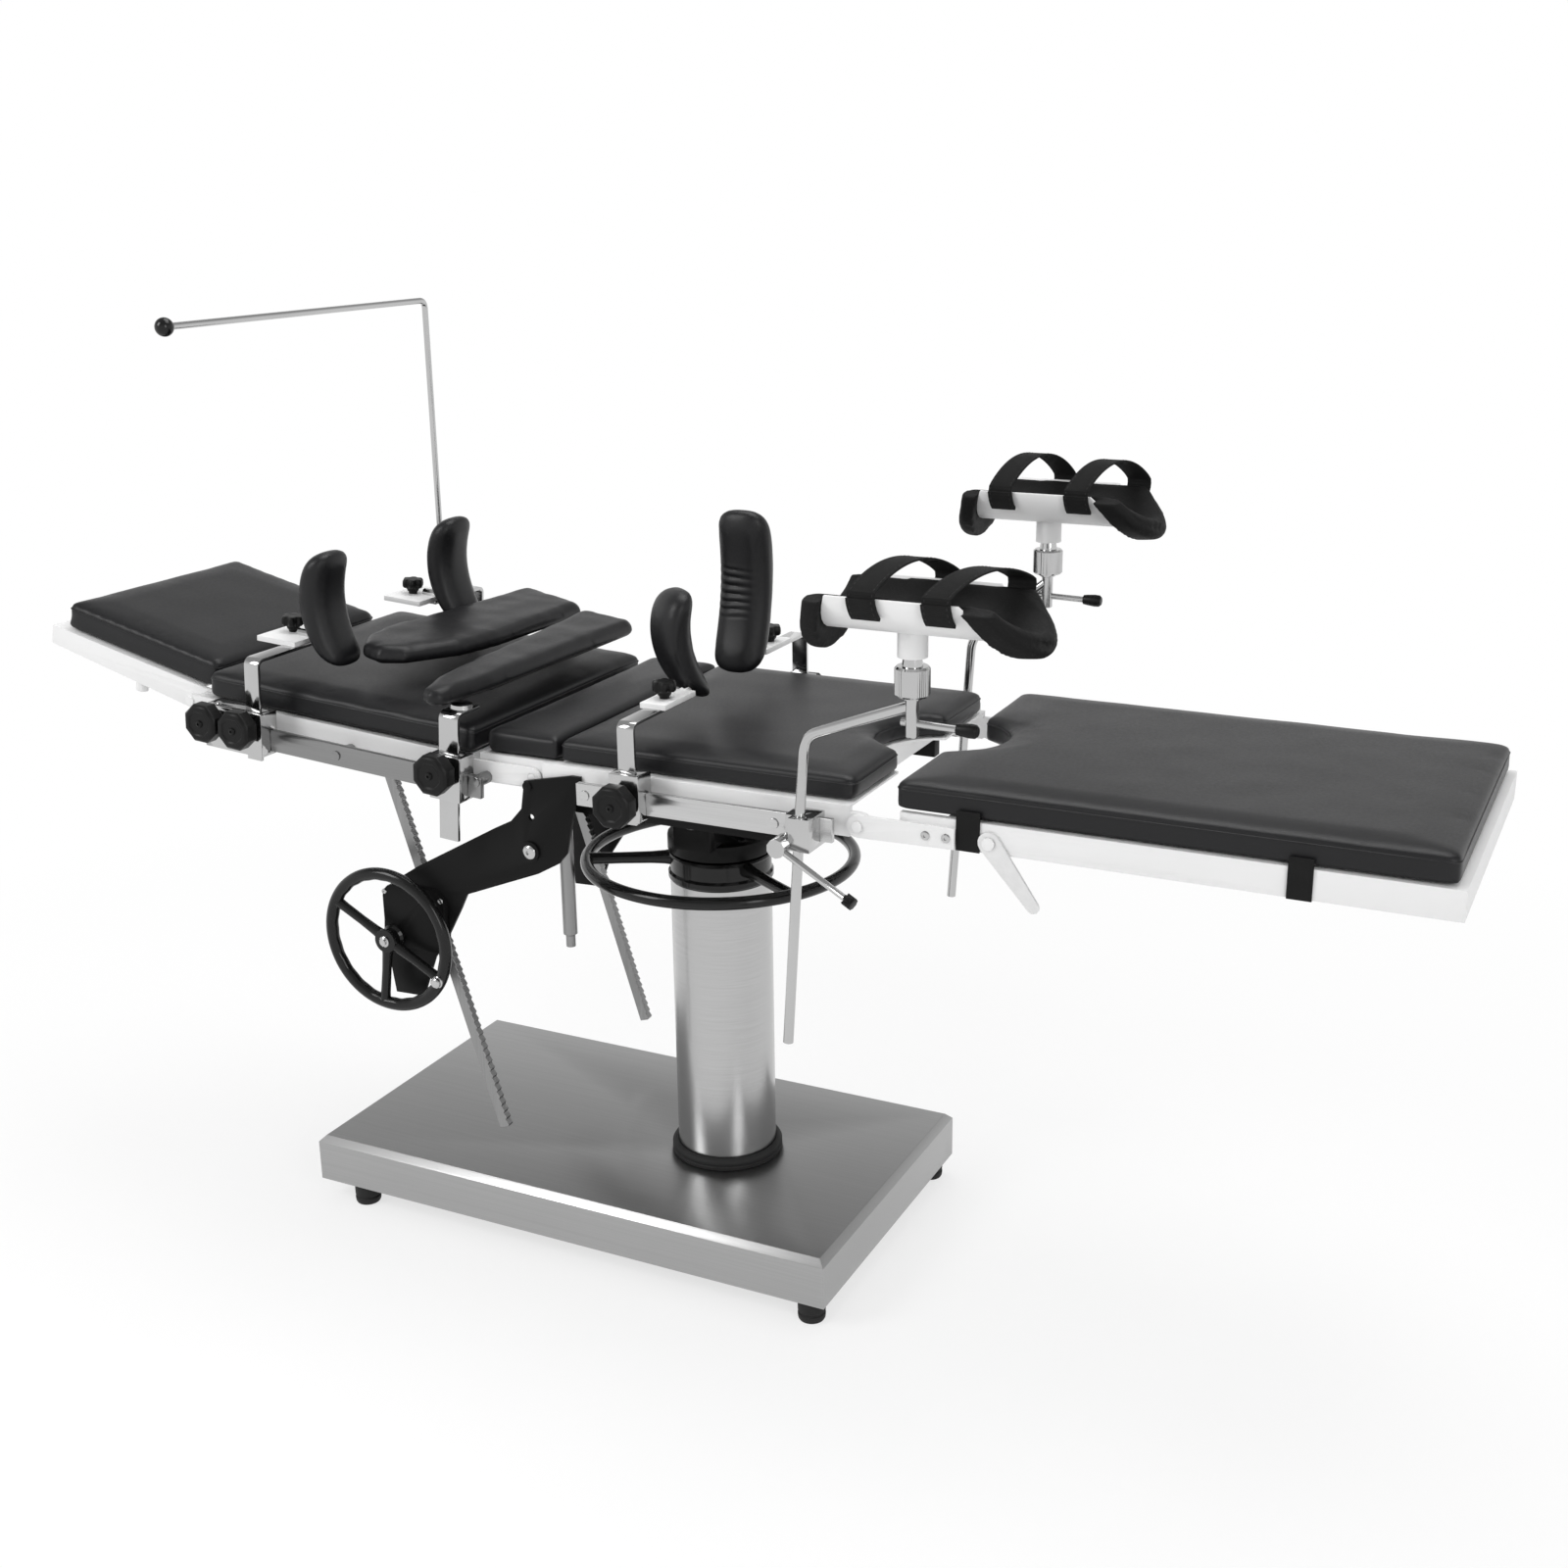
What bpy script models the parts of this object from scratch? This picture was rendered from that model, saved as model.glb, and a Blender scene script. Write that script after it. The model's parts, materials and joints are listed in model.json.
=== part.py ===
"""Manual operating table: base, lifting column, tilting top in five padded sections, and the
accessories on its side rails.

Metres, +Z up. +X runs to the foot end, -X to the head end and -Y to the near side. Each section
is modelled level, and the empty that carries it turns it to its resting angle.
"""
import math

import bpy
import bmesh
from mathutils import Matrix, Vector

# Common clearances and counts
GAP = 0.0003
RUNNING_GAP = 0.0005
OVERRUN = 0.004
BITE = 0.002
ROUND_SIDES = 16
COLUMN_SIDES = 28
RING_SIDES = 32
SMALL_SIDES = 10
TUBE_SIDES = 8
WHEEL_STEPS = 28
NEAR = -1
FAR = 1

# Base
BASE_LENGTH = 0.900
BASE_WIDTH = 0.504
BASE_BOTTOM = 0.035
BASE_TOP = 0.111
BASE_FOLD = 0.010
COVER_WALL = 0.003
CHASSIS_THICKNESS = 0.018
PEDESTAL_RADIUS = 0.120
FOOT_RADIUS = 0.0205
FOOT_HEAD_INSET = 0.073
FOOT_FOOT_INSET = 0.030
FOOT_SIDE_INSET = 0.0235
FOOT_EDGE = 0.004

# Column
COLUMN_X = 0.165
SLEEVE_RADIUS = 0.077
SLEEVE_TOP = 0.570
RING_RADIUS = 0.087
RING_HEIGHT = 0.018
RING_EDGE = 0.005
INNER_RADIUS = 0.060
INNER_BOTTOM = 0.130
FLANGE_RADIUS = 0.080
FLANGE_BOTTOM = 0.616
FLANGE_TOP = 0.640
FLANGE_BOLT_CIRCLE = 0.062
FLANGE_BOLT_RADIUS = 0.006
FLANGE_BOLT_HEIGHT = 0.003
FLANGE_BOLT_COUNT = 6
FLANGE_BOLT_SIDES = 6
CHEEK_INNER_Y = 0.075
CHEEK_THICKNESS = 0.015
CHEEK_HALF_LENGTH = 0.030
CHEEK_TOP = 0.715
CHEEK_FOOT = 0.020

# Handwheels
LIFT_WHEEL_Z = 0.600
LIFT_WHEEL_RADIUS = 0.2025
LIFT_WHEEL_TUBE = 0.0095
LIFT_HUB_RADIUS = 0.080
LIFT_HUB_TOP = 0.612
LIFT_SPOKE_RADIUS = 0.010
LIFT_SPOKE_END_SHARE = 0.9
LIFT_SPOKE_ANGLES = (208.0, 328.0, 88.0)
SIDE_WHEEL_X = -0.248
SIDE_WHEEL_Z = 0.500
SIDE_WHEEL_Y = 0.2865
SIDE_WHEEL_RADIUS = 0.1040
SIDE_WHEEL_TUBE = 0.0093
SIDE_HUB_RADIUS = 0.019
SIDE_HUB_LENGTH = 0.026
SIDE_SPOKE_RADIUS = 0.0075
SIDE_SPOKE_ANGLES = (152.0, 332.0, 262.0)
SIDE_STUD_RADIUS = 0.008
SIDE_STUD_LENGTH = 0.008

# Tilting head of the column
PITCH_Z = 0.690
ROLL_Z = 0.700
PITCH_BLOCK_HALF_LENGTH = 0.050
PITCH_BLOCK_BOTTOM = 0.672
PITCH_BLOCK_TOP = 0.712
JOURNAL_RADIUS = 0.012
LUG_INNER = 0.094
LUG_THICKNESS = 0.012
LUG_ROUND = 0.020
SUBFRAME_BOTTOM = 0.727
BEAM_OUTER_Y = 0.235
BEAM_WIDTH = 0.020
BEAM_HEAD_X = 0.045
BEAM_FOOT_X = 0.425

# Seat section
SEAT_FRAME_BOTTOM = 0.757
SEAT_FRAME_TOP = 0.7995
SEAT_HEAD_X = -0.090
SEAT_STEP_X = 0.020
SEAT_FOOT_X = 0.492
SEAT_STRIP = 0.010
SEAT_OUTER_Y = 0.2525
SEAT_INNER_OUTER_Y = 0.2445
CROSS_BAR = 0.016
SEAT_CROSS_FOOT_X = 0.410
FRAME_SHEET = 0.003
CUSHION_TOP = 0.837
SEAT_CUSHION_HEAD_X = 0.043
SEAT_CUSHION_FOOT_X = 0.496
CUSHION_HALF_WIDTH = 0.2445
NOTCH_X = 0.522
NOTCH_RADIUS = 0.090
RAIL_INNER_Y = 0.272
RAIL_THICKNESS = 0.008
RAIL_HEIGHT = 0.0325
SEAT_RAIL_BOTTOM = 0.7548
SEAT_RAIL_HEAD_X = 0.092
SEAT_RAIL_FOOT_X = 0.480
SPACER_RADIUS = 0.009
SPACER_INSET = 0.014
SPACER_ARM_INSET = 0.0084
BOLT_RADIUS = 0.0075
BOLT_HEIGHT = 0.003

# Kidney bridge
BRIDGE_HEAD_X = -0.086
BRIDGE_FOOT_X = 0.034
BRIDGE_MARGIN = 0.004
BRIDGE_HALF_WIDTH = 0.232
BRIDGE_ROD_X = 0.019
BRIDGE_ROD_Y = 0.200
BRIDGE_ROD_RADIUS = 0.0105
BRIDGE_ROD_BOTTOM = 0.503
BRIDGE_TIP_RADIUS = 0.007
BRIDGE_TIP_LENGTH = 0.018
BRIDGE_SEAT_Z = 0.785
GUIDE_HALF_LENGTH = 0.0165
GUIDE_INNER_Y = 0.1855

# Back section, modelled level
BACK_HINGE_X = 0.0
BACK_HINGE_Z = 0.775
BACK_RAISE = 4.0
BACK_FRAME_BOTTOM = 0.752
BACK_FRAME_TOP = 0.7847
BACK_HEAD_X = -0.648
BACK_FOOT_X = -0.112
BACK_OUTER_Y = 0.2445
BACK_CUSHION_TOP = 0.829
BACK_CUSHION_HEAD_X = -0.600
BACK_CUSHION_FOOT_X = -0.104
BACK_SHEET_HEAD_X = -0.606
BACK_CROSS_SHARES = (0.0933, 0.5522, 0.9701)
BACK_RAIL_BOTTOM = 0.7378
BACK_RAIL_HEAD_X = -0.575
BACK_RAIL_FOOT_X = -0.066
BACK_RAIL_ARM_BOLT_Z = 0.7620
BACK_ARM_INNER_Y = 0.2466
BACK_ARM_THICKNESS = 0.0048
BACK_ARM_RADIUS = 0.014
BACK_ARM_LAP = 0.044
HINGE_PIN_RADIUS = 0.006

# Ratchet racks and the pinion that meets them
RACK_PIVOT_X = -0.290
RACK_PIVOT_Z = 0.765
RACK_LEAN = -17.2
RACK_Y = 0.215
RACK_THICKNESS = 0.012
RACK_WIDTH = 0.018
RACK_LENGTH = 0.625
RACK_TOOTH_PITCH = 0.0115
RACK_TOOTH_DEPTH = 0.003
RACK_PLAIN_LENGTH = 0.060
RACK_PIN_RADIUS = 0.005
RACK_LUG_RADIUS = 0.012
RACK_PINION_DROP = 0.215
PINION_RADIUS = 0.0195
PINION_TOOTH_DEPTH = 0.003
PINION_TEETH = 14
PINION_SHAFT_RADIUS = 0.008
RACK_PINION_GAP = 0.0025

# Head section, modelled level with the back
HEAD_HINGE_X = -0.629
HEAD_HINGE_Z = 0.7745
HEAD_RAISE = 9.4
HEAD_LENGTH = 0.326
HEAD_OUTER_Y = 0.205
HEAD_STRIP = 0.008
HEAD_STRIP_HEIGHT = 0.031
HEAD_STRIP_ROOT_HEIGHT = 0.042
HEAD_FRAME_TOP = 0.7823
HEAD_CUSHION_TOP = 0.8312
HEAD_CUSHION_HEAD_X = -0.936
HEAD_CUSHION_FOOT_X = -0.618
HEAD_CUSHION_HALF_WIDTH = 0.2015
HEAD_CROSS_X = -0.850
HEAD_KNOB_X = -0.772
HEAD_KNOB_RADIUS = 0.010
HEAD_KNOB_LENGTH = 0.022
HEAD_SHAFT_RADIUS = 0.0055

# Leg section
LEG_HINGE_X = 0.506
LEG_HINGE_Z = 0.775
LEG_FRAME_BOTTOM = 0.761
LEG_FRAME_TOP = 0.8000
LEG_OUTER_Y = 0.2500
LEG_STRIP = 0.010
LEG_HEAD_X = 0.562
LEG_FOOT_X = 1.257
LEG_SHEET_HEAD_X = 0.625
LEG_CUSHION_HEAD_X = 0.550
LEG_CUSHION_FOOT_X = 1.251
LEG_CUSHION_TOP = 0.8425
LEG_CUSHION_HALF_WIDTH = 0.2495
LEG_ARM_INNER_Y = 0.2535
LEG_ARM_THICKNESS = 0.005
LEG_ARM_RADIUS = 0.0155
LEG_ARM_FOOT_X = 0.640
LEG_ARM_BOTTOM = 0.762
LEG_ARM_TOP = 0.790
LEG_ARM_LAP_X = 0.575
LEG_LEVER_X = 0.685
LEG_LEVER_Z = 0.776
LEG_LEVER_LENGTH = 0.098
LEG_LEVER_TURN = 52.0
LEG_LEVER_RADIUS = 0.0150
LEG_LEVER_TIP_RADIUS = 0.0085
LEG_LEVER_THICKNESS = 0.005
LEG_LEVER_STUD = 0.007

# Cushion shape
CUSHION_CORNER = 0.014
CUSHION_EDGE = 0.010
CUSHION_CROWN = 0.003
CUSHION_CROWN_INSET = 0.045
CUSHION_DRAW = 0.0015
CUSHION_RIM_SHARE = 0.3

# Arm plates and gearbox of the back drive
PLATE_THICKNESS = 0.006
PLATE_HEAD_X = -0.276
PLATE_FOOT_X = 0.085
PLATE_BOTTOM = 0.402
PLATE_TOP = 0.788
PLATE_OUTLINE_SHARES = ((0.7424, 0.956), (0.9584, 1), (1, 1), (1, 0.9016), (0.9723, 0.8964),
                        (0.9224, 0.6969), (0.8837, 0.6528), (0.7867, 0.601), (0.4321, 0.4663),
                        (0.3961, 0.399), (0.3269, 0.2824), (0.2493, 0.1762), (0.1773, 0.0052),
                        (0.0388, 0), (0, 0.2539), (0.0166, 0.4223), (0.1053, 0.4922), (0.1994, 0.5492),
                        (0.5845, 0.7513), (0.6704, 0.7927), (0.723, 0.8472))
PLATE_HOLE_X = 0.001
PLATE_HOLE_Z = 0.718
PLATE_HOLE_RADIUS = 0.005
PLATE_PIN_X = -0.002
PLATE_PIN_Z = 0.667
PLATE_PIN_RADIUS = 0.0155
PLATE_PIN_HEIGHT = 0.005
PLATE_SCREW_Z = 0.764
GEARBOX_OUTER_Y = 0.2690
GEARBOX_INSET = 0.006
GEARBOX_HEAD_X = -0.272
GEARBOX_FOOT_X = -0.150
GEARBOX_BOTTOM = 0.478
GEARBOX_TOP = 0.588
GEARBOX_CORNER = 0.020
WHEEL_SHAFT_RADIUS = 0.007

# Rail clamps and flat posts
CLAMP_LIP_Y = 0.2645
CLAMP_LIP_RISE = 0.006
CLAMP_OUTER_Y = 0.3000
CLAMP_WALL_X = 0.010
CLAMP_RISE = 0.028
CLAMP_DROP = 0.006
POST_INNER_Y = 0.2850
POST_THICKNESS = 0.005
POST_BEND = 0.012
KNOB_RADIUS = 0.031
KNOB_FLATS = 8
KNOB_INNER_Y = 0.3120
KNOB_LENGTH = 0.026
KNOB_CHAMFER = 0.004
KNOB_STEM_RADIUS = 0.008
BACK_KNOB_RISE = 0.025
SEAT_KNOB_RISE = 0.008

# Shoulder supports, on the back rails
SHOULDER_X = -0.466
SHOULDER_POST_WIDTH = 0.026
SHOULDER_POST_BOTTOM = 0.722
SHOULDER_POST_TOP = 0.8790
SHOULDER_REACH_Y = 0.150
SHOULDER_SECOND_X = -0.528
SHOULDER_SECOND_WIDTH = 0.012
SHOULDER_PLATE_LENGTH = 0.072
SHOULDER_PLATE_OUTER_Y = 0.203
SHOULDER_PLATE_INNER_Y = 0.110
SHOULDER_PLATE_THICKNESS = 0.008
SHOULDER_KNOB_X = -0.500
SHOULDER_KNOB_Y = 0.152
SHOULDER_PAD_X = -0.456
SHOULDER_PAD_Y = 0.160
SHOULDER_PAD_BOTTOM = 0.852
SHOULDER_PAD_TOP = 1.026
SHOULDER_PAD_BOW = 0.025
SHOULDER_PAD_LEAN = 0.019

# Hip supports, on the seat rails
HIP_NEAR_X = 0.180
HIP_FAR_X = 0.163
HIP_POST_WIDTH = 0.026
HIP_POST_BOTTOM = 0.742
HIP_POST_TOP = 0.886
HIP_REACH_Y = 0.150
HIP_PLATE_LENGTH = 0.040
HIP_PLATE_OUTER_Y = 0.215
HIP_PLATE_INNER_Y = 0.128
HIP_PLATE_THICKNESS = 0.008
HIP_KNOB_Y = 0.181
HIP_PAD_Y = 0.104
HIP_NEAR_PAD_SHIFT_X = -0.029
HIP_NEAR_PAD_BOTTOM = 0.872
HIP_FAR_PAD_BOTTOM = 0.868
HIP_NEAR_PAD_TOP = 1.030
HIP_FAR_PAD_TOP = 1.112
HIP_PAD_BOW = 0.025
HIP_PAD_LEAN = 0.017
HIP_NEAR_TURN = -38.0
HIP_WRINKLE = 0.0016
HIP_WRINKLE_COUNT = 6

# Star knob and pad shape
STAR_RADIUS = 0.017
STAR_WAIST = 0.012
STAR_POINTS = 6
STAR_HEIGHT = 0.020
STAR_STEM_RADIUS = 0.006
STAR_STEM_HEIGHT = 0.006
PAD_FULLNESS_POWER = 3.5
PAD_SQUARENESS_POWER = 0.7
PAD_END_SHARE = 0.25
PAD_WRINKLE_SHARE = 0.5
PAD_WIDTH = 0.090
PAD_THICKNESS = 0.046
PAD_STATIONS = 13
PAD_SIDES = 12
PAD_STEM_RADIUS = 0.007

# Armboards, folded across the back
ARM_NEAR_X = -0.114
ARM_FAR_X = -0.285
ARM_POST_WIDTH = 0.032
ARM_POST_BOTTOM = 0.669
ARM_POST_TOP = 0.8600
ARM_POST_REACH_Y = 0.235
ARM_SWIVEL_Y = 0.258
ARM_SWIVEL_RADIUS = 0.016
ARM_SWIVEL_HEIGHT = 0.006
BOARD_THICKNESS = 0.028
BOARD_EDGE = 0.009
NEAR_BOARD_HEAD_X = -0.207
NEAR_BOARD_FOOT_X = -0.096
NEAR_BOARD_LOW_Y = -0.309
NEAR_BOARD_HIGH_Y = 0.217
NEAR_BOARD_SHARES = ((0.8559, 0.0456), (0.9279, 0.2262), (1, 0.9525), (0.9279, 0.9772), (0.0991, 1),
                     (0, 0.9772), (0.2252, 0.2643), (0.3153, 0.1122), (0.4685, 0.0209), (0.6396, 0),
                     (0.7838, 0.0114))
FAR_BOARD_HEAD_X = -0.398
FAR_BOARD_FOOT_X = -0.222
FAR_BOARD_LOW_Y = -0.178
FAR_BOARD_HIGH_Y = 0.292
FAR_BOARD_SHARES = ((1, 0.8894), (0.9432, 0.9149), (0.2557, 1), (0.1818, 0.983), (0.0909, 0.5915),
                    (0, 0.2723), (0.0341, 0.1277), (0.2045, 0.0277), (0.4318, 0), (0.6364, 0.0489),
                    (0.875, 0.2298), (0.9545, 0.4))

# Anaesthesia screen
SCREEN_Y = 0.290
SCREEN_RADIUS = 0.005
SCREEN_BOTTOM = 0.715
SCREEN_TOP = 1.352
SCREEN_ARM_LENGTH = 0.600
SCREEN_BEND = 0.012
SCREEN_BALL_RADIUS = 0.014
SCREEN_BALL_RINGS = 8

# Stirrups
STIRRUP_CLAMP_X = 0.4425
STIRRUP_LEAN = 3.7
STIRRUP_CLAMP_WIDTH = 0.040
STIRRUP_Y = 0.3000
STIRRUP_ROD_RADIUS = 0.0070
STIRRUP_ROD_BOTTOM = 0.470
STIRRUP_BEND_Z = 0.902
STIRRUP_NEAR_REACH_X = 0.160
STIRRUP_NEAR_RISE = 0.065
STIRRUP_FAR_REACH_X = 0.108
STIRRUP_FAR_RISE = 0.088
STIRRUP_REACH_Y = 0.030
STIRRUP_BEND_SHARE = 0.3
STIRRUP_STEM_RADIUS = 0.0085
STIRRUP_STEM_DROP = 0.040
STIRRUP_STEM_RISE = 0.012
KNURL_RADIUS = 0.022
KNURL_HEIGHT = 0.038
STIRRUP_CONE_RADIUS = 0.013
STIRRUP_CONE_TOP_RADIUS = 0.009
STIRRUP_CONE_HEIGHT = 0.026
SOCKET_RADIUS = 0.019
SOCKET_HEIGHT = 0.030
STIRRUP_LEVER_DROP = 0.022
STIRRUP_LEVER_LENGTH = 0.085
STIRRUP_LEVER_RADIUS = 0.0045
STIRRUP_CAP_RADIUS = 0.009
STIRRUP_CAP_LENGTH = 0.028
T_LEVER_HUB_RADIUS = 0.013
T_LEVER_HUB_LENGTH = 0.030
T_LEVER_REACH_X = 0.105
T_LEVER_REACH_Y = 0.022
T_LEVER_DROP = 0.046
T_LEVER_SEAT_SHARE = 0.75
T_LEVER_KNOB_SHARE = 0.12
T_LEVER_RADIUS = 0.0045
T_LEVER_KNOB_RADIUS = 0.0085

# Stirrup cups
CUP_LENGTH = 0.235
CUP_HALF_WIDTH = 0.074
CUP_DEPTH = 0.058
CUP_WALL = 0.004
CUP_ANGLE = 84.0
CUP_END_CUT = 0.055
CUP_STEPS = 14
CUP_HEAD_SHARE = 0.43
CUP_HEAD_CUT_SHARE = 0.35
LINER_WALL = 0.011
LINER_HEAD_EXTRA = 0.028
LINER_FOOT_EXTRA = 0.042
LINER_LIP = 0.012
LINER_HEAD_DROOP = 0.030
LINER_FOOT_DROOP = 0.018
LINER_ROLL = 0.008
LINER_END_GAP = 0.0015
STRAP_WIDTH = 0.034
STRAP_WALL = 0.004
STRAP_START = -8.0
STRAP_STEPS = 12
STRAP_SKEW = 0.012
NEAR_STRAP_RISE = 0.036
FAR_STRAP_RISE = 0.046
NEAR_STRAP_SHARES = (0.24, 0.78)
FAR_STRAP_SHARES = (0.16, 0.74)

MATERIALS = {
    "brushed_steel": ((0.56, 0.57, 0.58), 0.34, 1.0),
    "column_steel": ((0.50, 0.51, 0.52), 0.30, 1.0),
    "white_enamel": ((0.80, 0.81, 0.82), 0.38, 0.0),
    "black_enamel": ((0.015, 0.015, 0.017), 0.35, 0.0),
    "gloss_black": ((0.012, 0.012, 0.013), 0.12, 0.0),
    "chrome": ((0.75, 0.76, 0.77), 0.12, 1.0),
    "rubber": ((0.020, 0.020, 0.020), 0.70, 0.0),
    "black_leatherette": ((0.035, 0.035, 0.038), 0.42, 0.0),
    "black_fabric": ((0.020, 0.020, 0.022), 0.85, 0.0),
    "cast_iron": ((0.10, 0.10, 0.11), 0.60, 0.4),
    "satin_steel": ((0.42, 0.43, 0.44), 0.40, 1.0),
}


def clear_scene():
    for thing in list(bpy.data.objects):
        bpy.data.objects.remove(thing, do_unlink=True)


def material(name):
    found = bpy.data.materials.get(name)
    if found:
        return found
    colour, roughness, metallic = MATERIALS[name]
    made = bpy.data.materials.new(name)
    made.use_nodes = True
    shader = made.node_tree.nodes["Principled BSDF"]
    shader.inputs["Base Color"].default_value = (*colour, 1.0)
    shader.inputs["Roughness"].default_value = roughness
    shader.inputs["Metallic"].default_value = metallic
    made.diffuse_color = (*colour, 1.0)
    return made


# Carriers: one empty for each moving body, on its joint
def carrier(name, parent, point, turn=0.0):
    """An empty at a joint; point is in the level frame, turn is the resting angle about Y."""
    empty = bpy.data.objects.new(name, None)
    bpy.context.collection.objects.link(empty)
    empty["level_x"], empty["level_y"], empty["level_z"] = point
    start = Vector((0.0, 0.0, 0.0))
    if parent is not None:
        empty.parent = parent
        start = level_point(parent)
    empty.location = Vector(point) - start
    empty.rotation_euler = (0.0, math.radians(turn), 0.0)
    return empty


def level_point(empty):
    return Vector((empty["level_x"], empty["level_y"], empty["level_z"]))


def finish(piece, name, material_name, parent, side=FAR, smooth=True):
    """Name a solid, mirror it to its side, seat it on its carrier and give it its material."""
    piece.name = name
    piece.data.name = name
    mesh = piece.data
    if side == NEAR:
        mesh.transform(Matrix.Scale(-1.0, 4, Vector((0.0, 1.0, 0.0))))
        mesh.flip_normals()
    mesh.transform(Matrix.Translation(-level_point(parent)))
    piece.parent = parent
    mesh.materials.clear()
    mesh.materials.append(material(material_name))
    for face in mesh.polygons:
        face.material_index = 0
    if smooth:
        mesh.shade_smooth()
        mesh.set_sharp_from_angle(angle=math.radians(32.0))
    return piece


# Solids
def solid(work):
    """Turn a bmesh into an object with its faces pointing out."""
    bmesh.ops.recalc_face_normals(work, faces=work.faces)
    mesh = bpy.data.meshes.new("solid")
    work.to_mesh(mesh)
    work.free()
    piece = bpy.data.objects.new("solid", mesh)
    bpy.context.collection.objects.link(piece)
    return piece


def combine(first, operation, others):
    for other in others:
        step = first.modifiers.new(operation.title(), "BOOLEAN")
        step.operation = operation
        step.solver = "EXACT"
        step.object = other
    depsgraph = bpy.context.evaluated_depsgraph_get()
    mesh = bpy.data.meshes.new_from_object(first.evaluated_get(depsgraph))
    first.modifiers.clear()
    first.data = mesh
    for other in others:
        bpy.data.objects.remove(other, do_unlink=True)
    return first


def joined(first, *others):
    return combine(first, "UNION", others)


def cut(first, *others):
    return combine(first, "DIFFERENCE", others)


def ringed(rings, closed=False):
    """A solid through rings of equal point counts; closed joins the last ring to the first."""
    work = bmesh.new()
    loops = [[work.verts.new(point) for point in ring] for ring in rings]
    pairs = list(zip(loops, loops[1:]))
    if closed:
        pairs.append((loops[-1], loops[0]))
    else:
        work.faces.new(loops[0])
        work.faces.new(loops[-1])
    for low, high in pairs:
        for index in range(len(low)):
            following = (index + 1) % len(low)
            work.faces.new((low[index], low[following], high[following], high[index]))
    return solid(work)


def box(x, y, z):
    """A box from three (low, high) pairs."""
    floor = [(x[0], y[0], z[0]), (x[1], y[0], z[0]), (x[1], y[1], z[0]), (x[0], y[1], z[0])]
    return ringed([floor, [(px, py, z[1]) for px, py, _ in floor]])


def placed(axis, across, up, along):
    """A point from plane coordinates and a distance along the named axis."""
    if axis == "X":
        return (along, across, up)
    if axis == "Y":
        return (across, along, up)
    return (across, up, along)


def prism(outline, axis, low, high):
    rings = [[placed(axis, across, up, level) for across, up in outline] for level in (low, high)]
    return ringed(rings)


def circle(across, up, radius, sides):
    turns = [math.tau * (index + 0.5) / sides for index in range(sides)]
    return [(across + radius * math.cos(turn), up + radius * math.sin(turn)) for turn in turns]


def cylinder(axis, across, up, radius, low, high, sides=ROUND_SIDES):
    return prism(circle(across, up, radius, sides), axis, low, high)


def turned(axis, across, up, profile, sides=ROUND_SIDES):
    """A round solid from (radius, distance along the axis) pairs."""
    rings = []
    for radius, along in profile:
        outline = circle(across, up, radius, sides)
        rings.append([placed(axis, one, two, along) for one, two in outline])
    return ringed(rings)


def hoop(axis, across, up, along, radius, tube):
    """A torus round the named axis."""
    rings = []
    for step in range(WHEEL_STEPS):
        turn = math.tau * step / WHEEL_STEPS
        ring = []
        for index in range(TUBE_SIDES):
            roll = math.tau * index / TUBE_SIDES
            reach = radius + tube * math.cos(roll)
            point = placed(axis, across + reach * math.cos(turn), up + reach * math.sin(turn),
                           along + tube * math.sin(roll))
            ring.append(point)
        rings.append(ring)
    return ringed(rings, closed=True)


def rod(start, end, radius, sides=SMALL_SIDES, end_radius=None):
    """A straight round bar between two points."""
    return tube_along([start, end], radius, sides, end_radius)


def tube_along(points, radius, sides=SMALL_SIDES, end_radius=None):
    """A round bar along a path, mitred at each point."""
    path = [Vector(point) for point in points]
    last = len(path) - 1
    directions = [(path[index + 1] - path[index]).normalized() for index in range(last)]
    helper = Vector((0.0, 0.0, 1.0))
    if abs(directions[0].z) > math.cos(math.radians(30.0)):
        helper = Vector((0.0, 1.0, 0.0))
    side = directions[0].cross(helper).normalized()
    rings = []
    for index, centre in enumerate(path):
        before = directions[max(index - 1, 0)]
        after = directions[min(index, last - 1)]
        middle = (before + after).normalized()
        if index > 0:
            side = (side - before * side.dot(before)).normalized()
        up = before.cross(side).normalized()
        size = radius if end_radius is None or index == 0 else end_radius
        ring = []
        for step in range(sides):
            roll = math.tau * (step + 0.5) / sides
            offset = (side * math.cos(roll) + up * math.sin(roll)) * size
            shift = -offset.dot(middle) / before.dot(middle)
            ring.append(centre + offset + before * shift)
        rings.append(ring)
        side = (side - after * side.dot(after)).normalized()
    return ringed(rings)


def arc(across, up, radius, start, end, steps):
    """Points of an arc, angles in degrees."""
    points = []
    for step in range(steps + 1):
        turn = math.radians(start + (end - start) * step / steps)
        points.append((across + radius * math.cos(turn), up + radius * math.sin(turn)))
    return points


def rounded_box(across, up, radius, steps=3):
    """Outline of a rectangle from two (low, high) pairs, with round corners."""
    low_a, high_a = across[0] + radius, across[1] - radius
    low_u, high_u = up[0] + radius, up[1] - radius
    return (arc(high_a, low_u, radius, -90.0, 0.0, steps) + arc(high_a, high_u, radius, 0.0, 90.0, steps)
            + arc(low_a, high_u, radius, 90.0, 180.0, steps)
            + arc(low_a, low_u, radius, 180.0, 270.0, steps))


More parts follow.
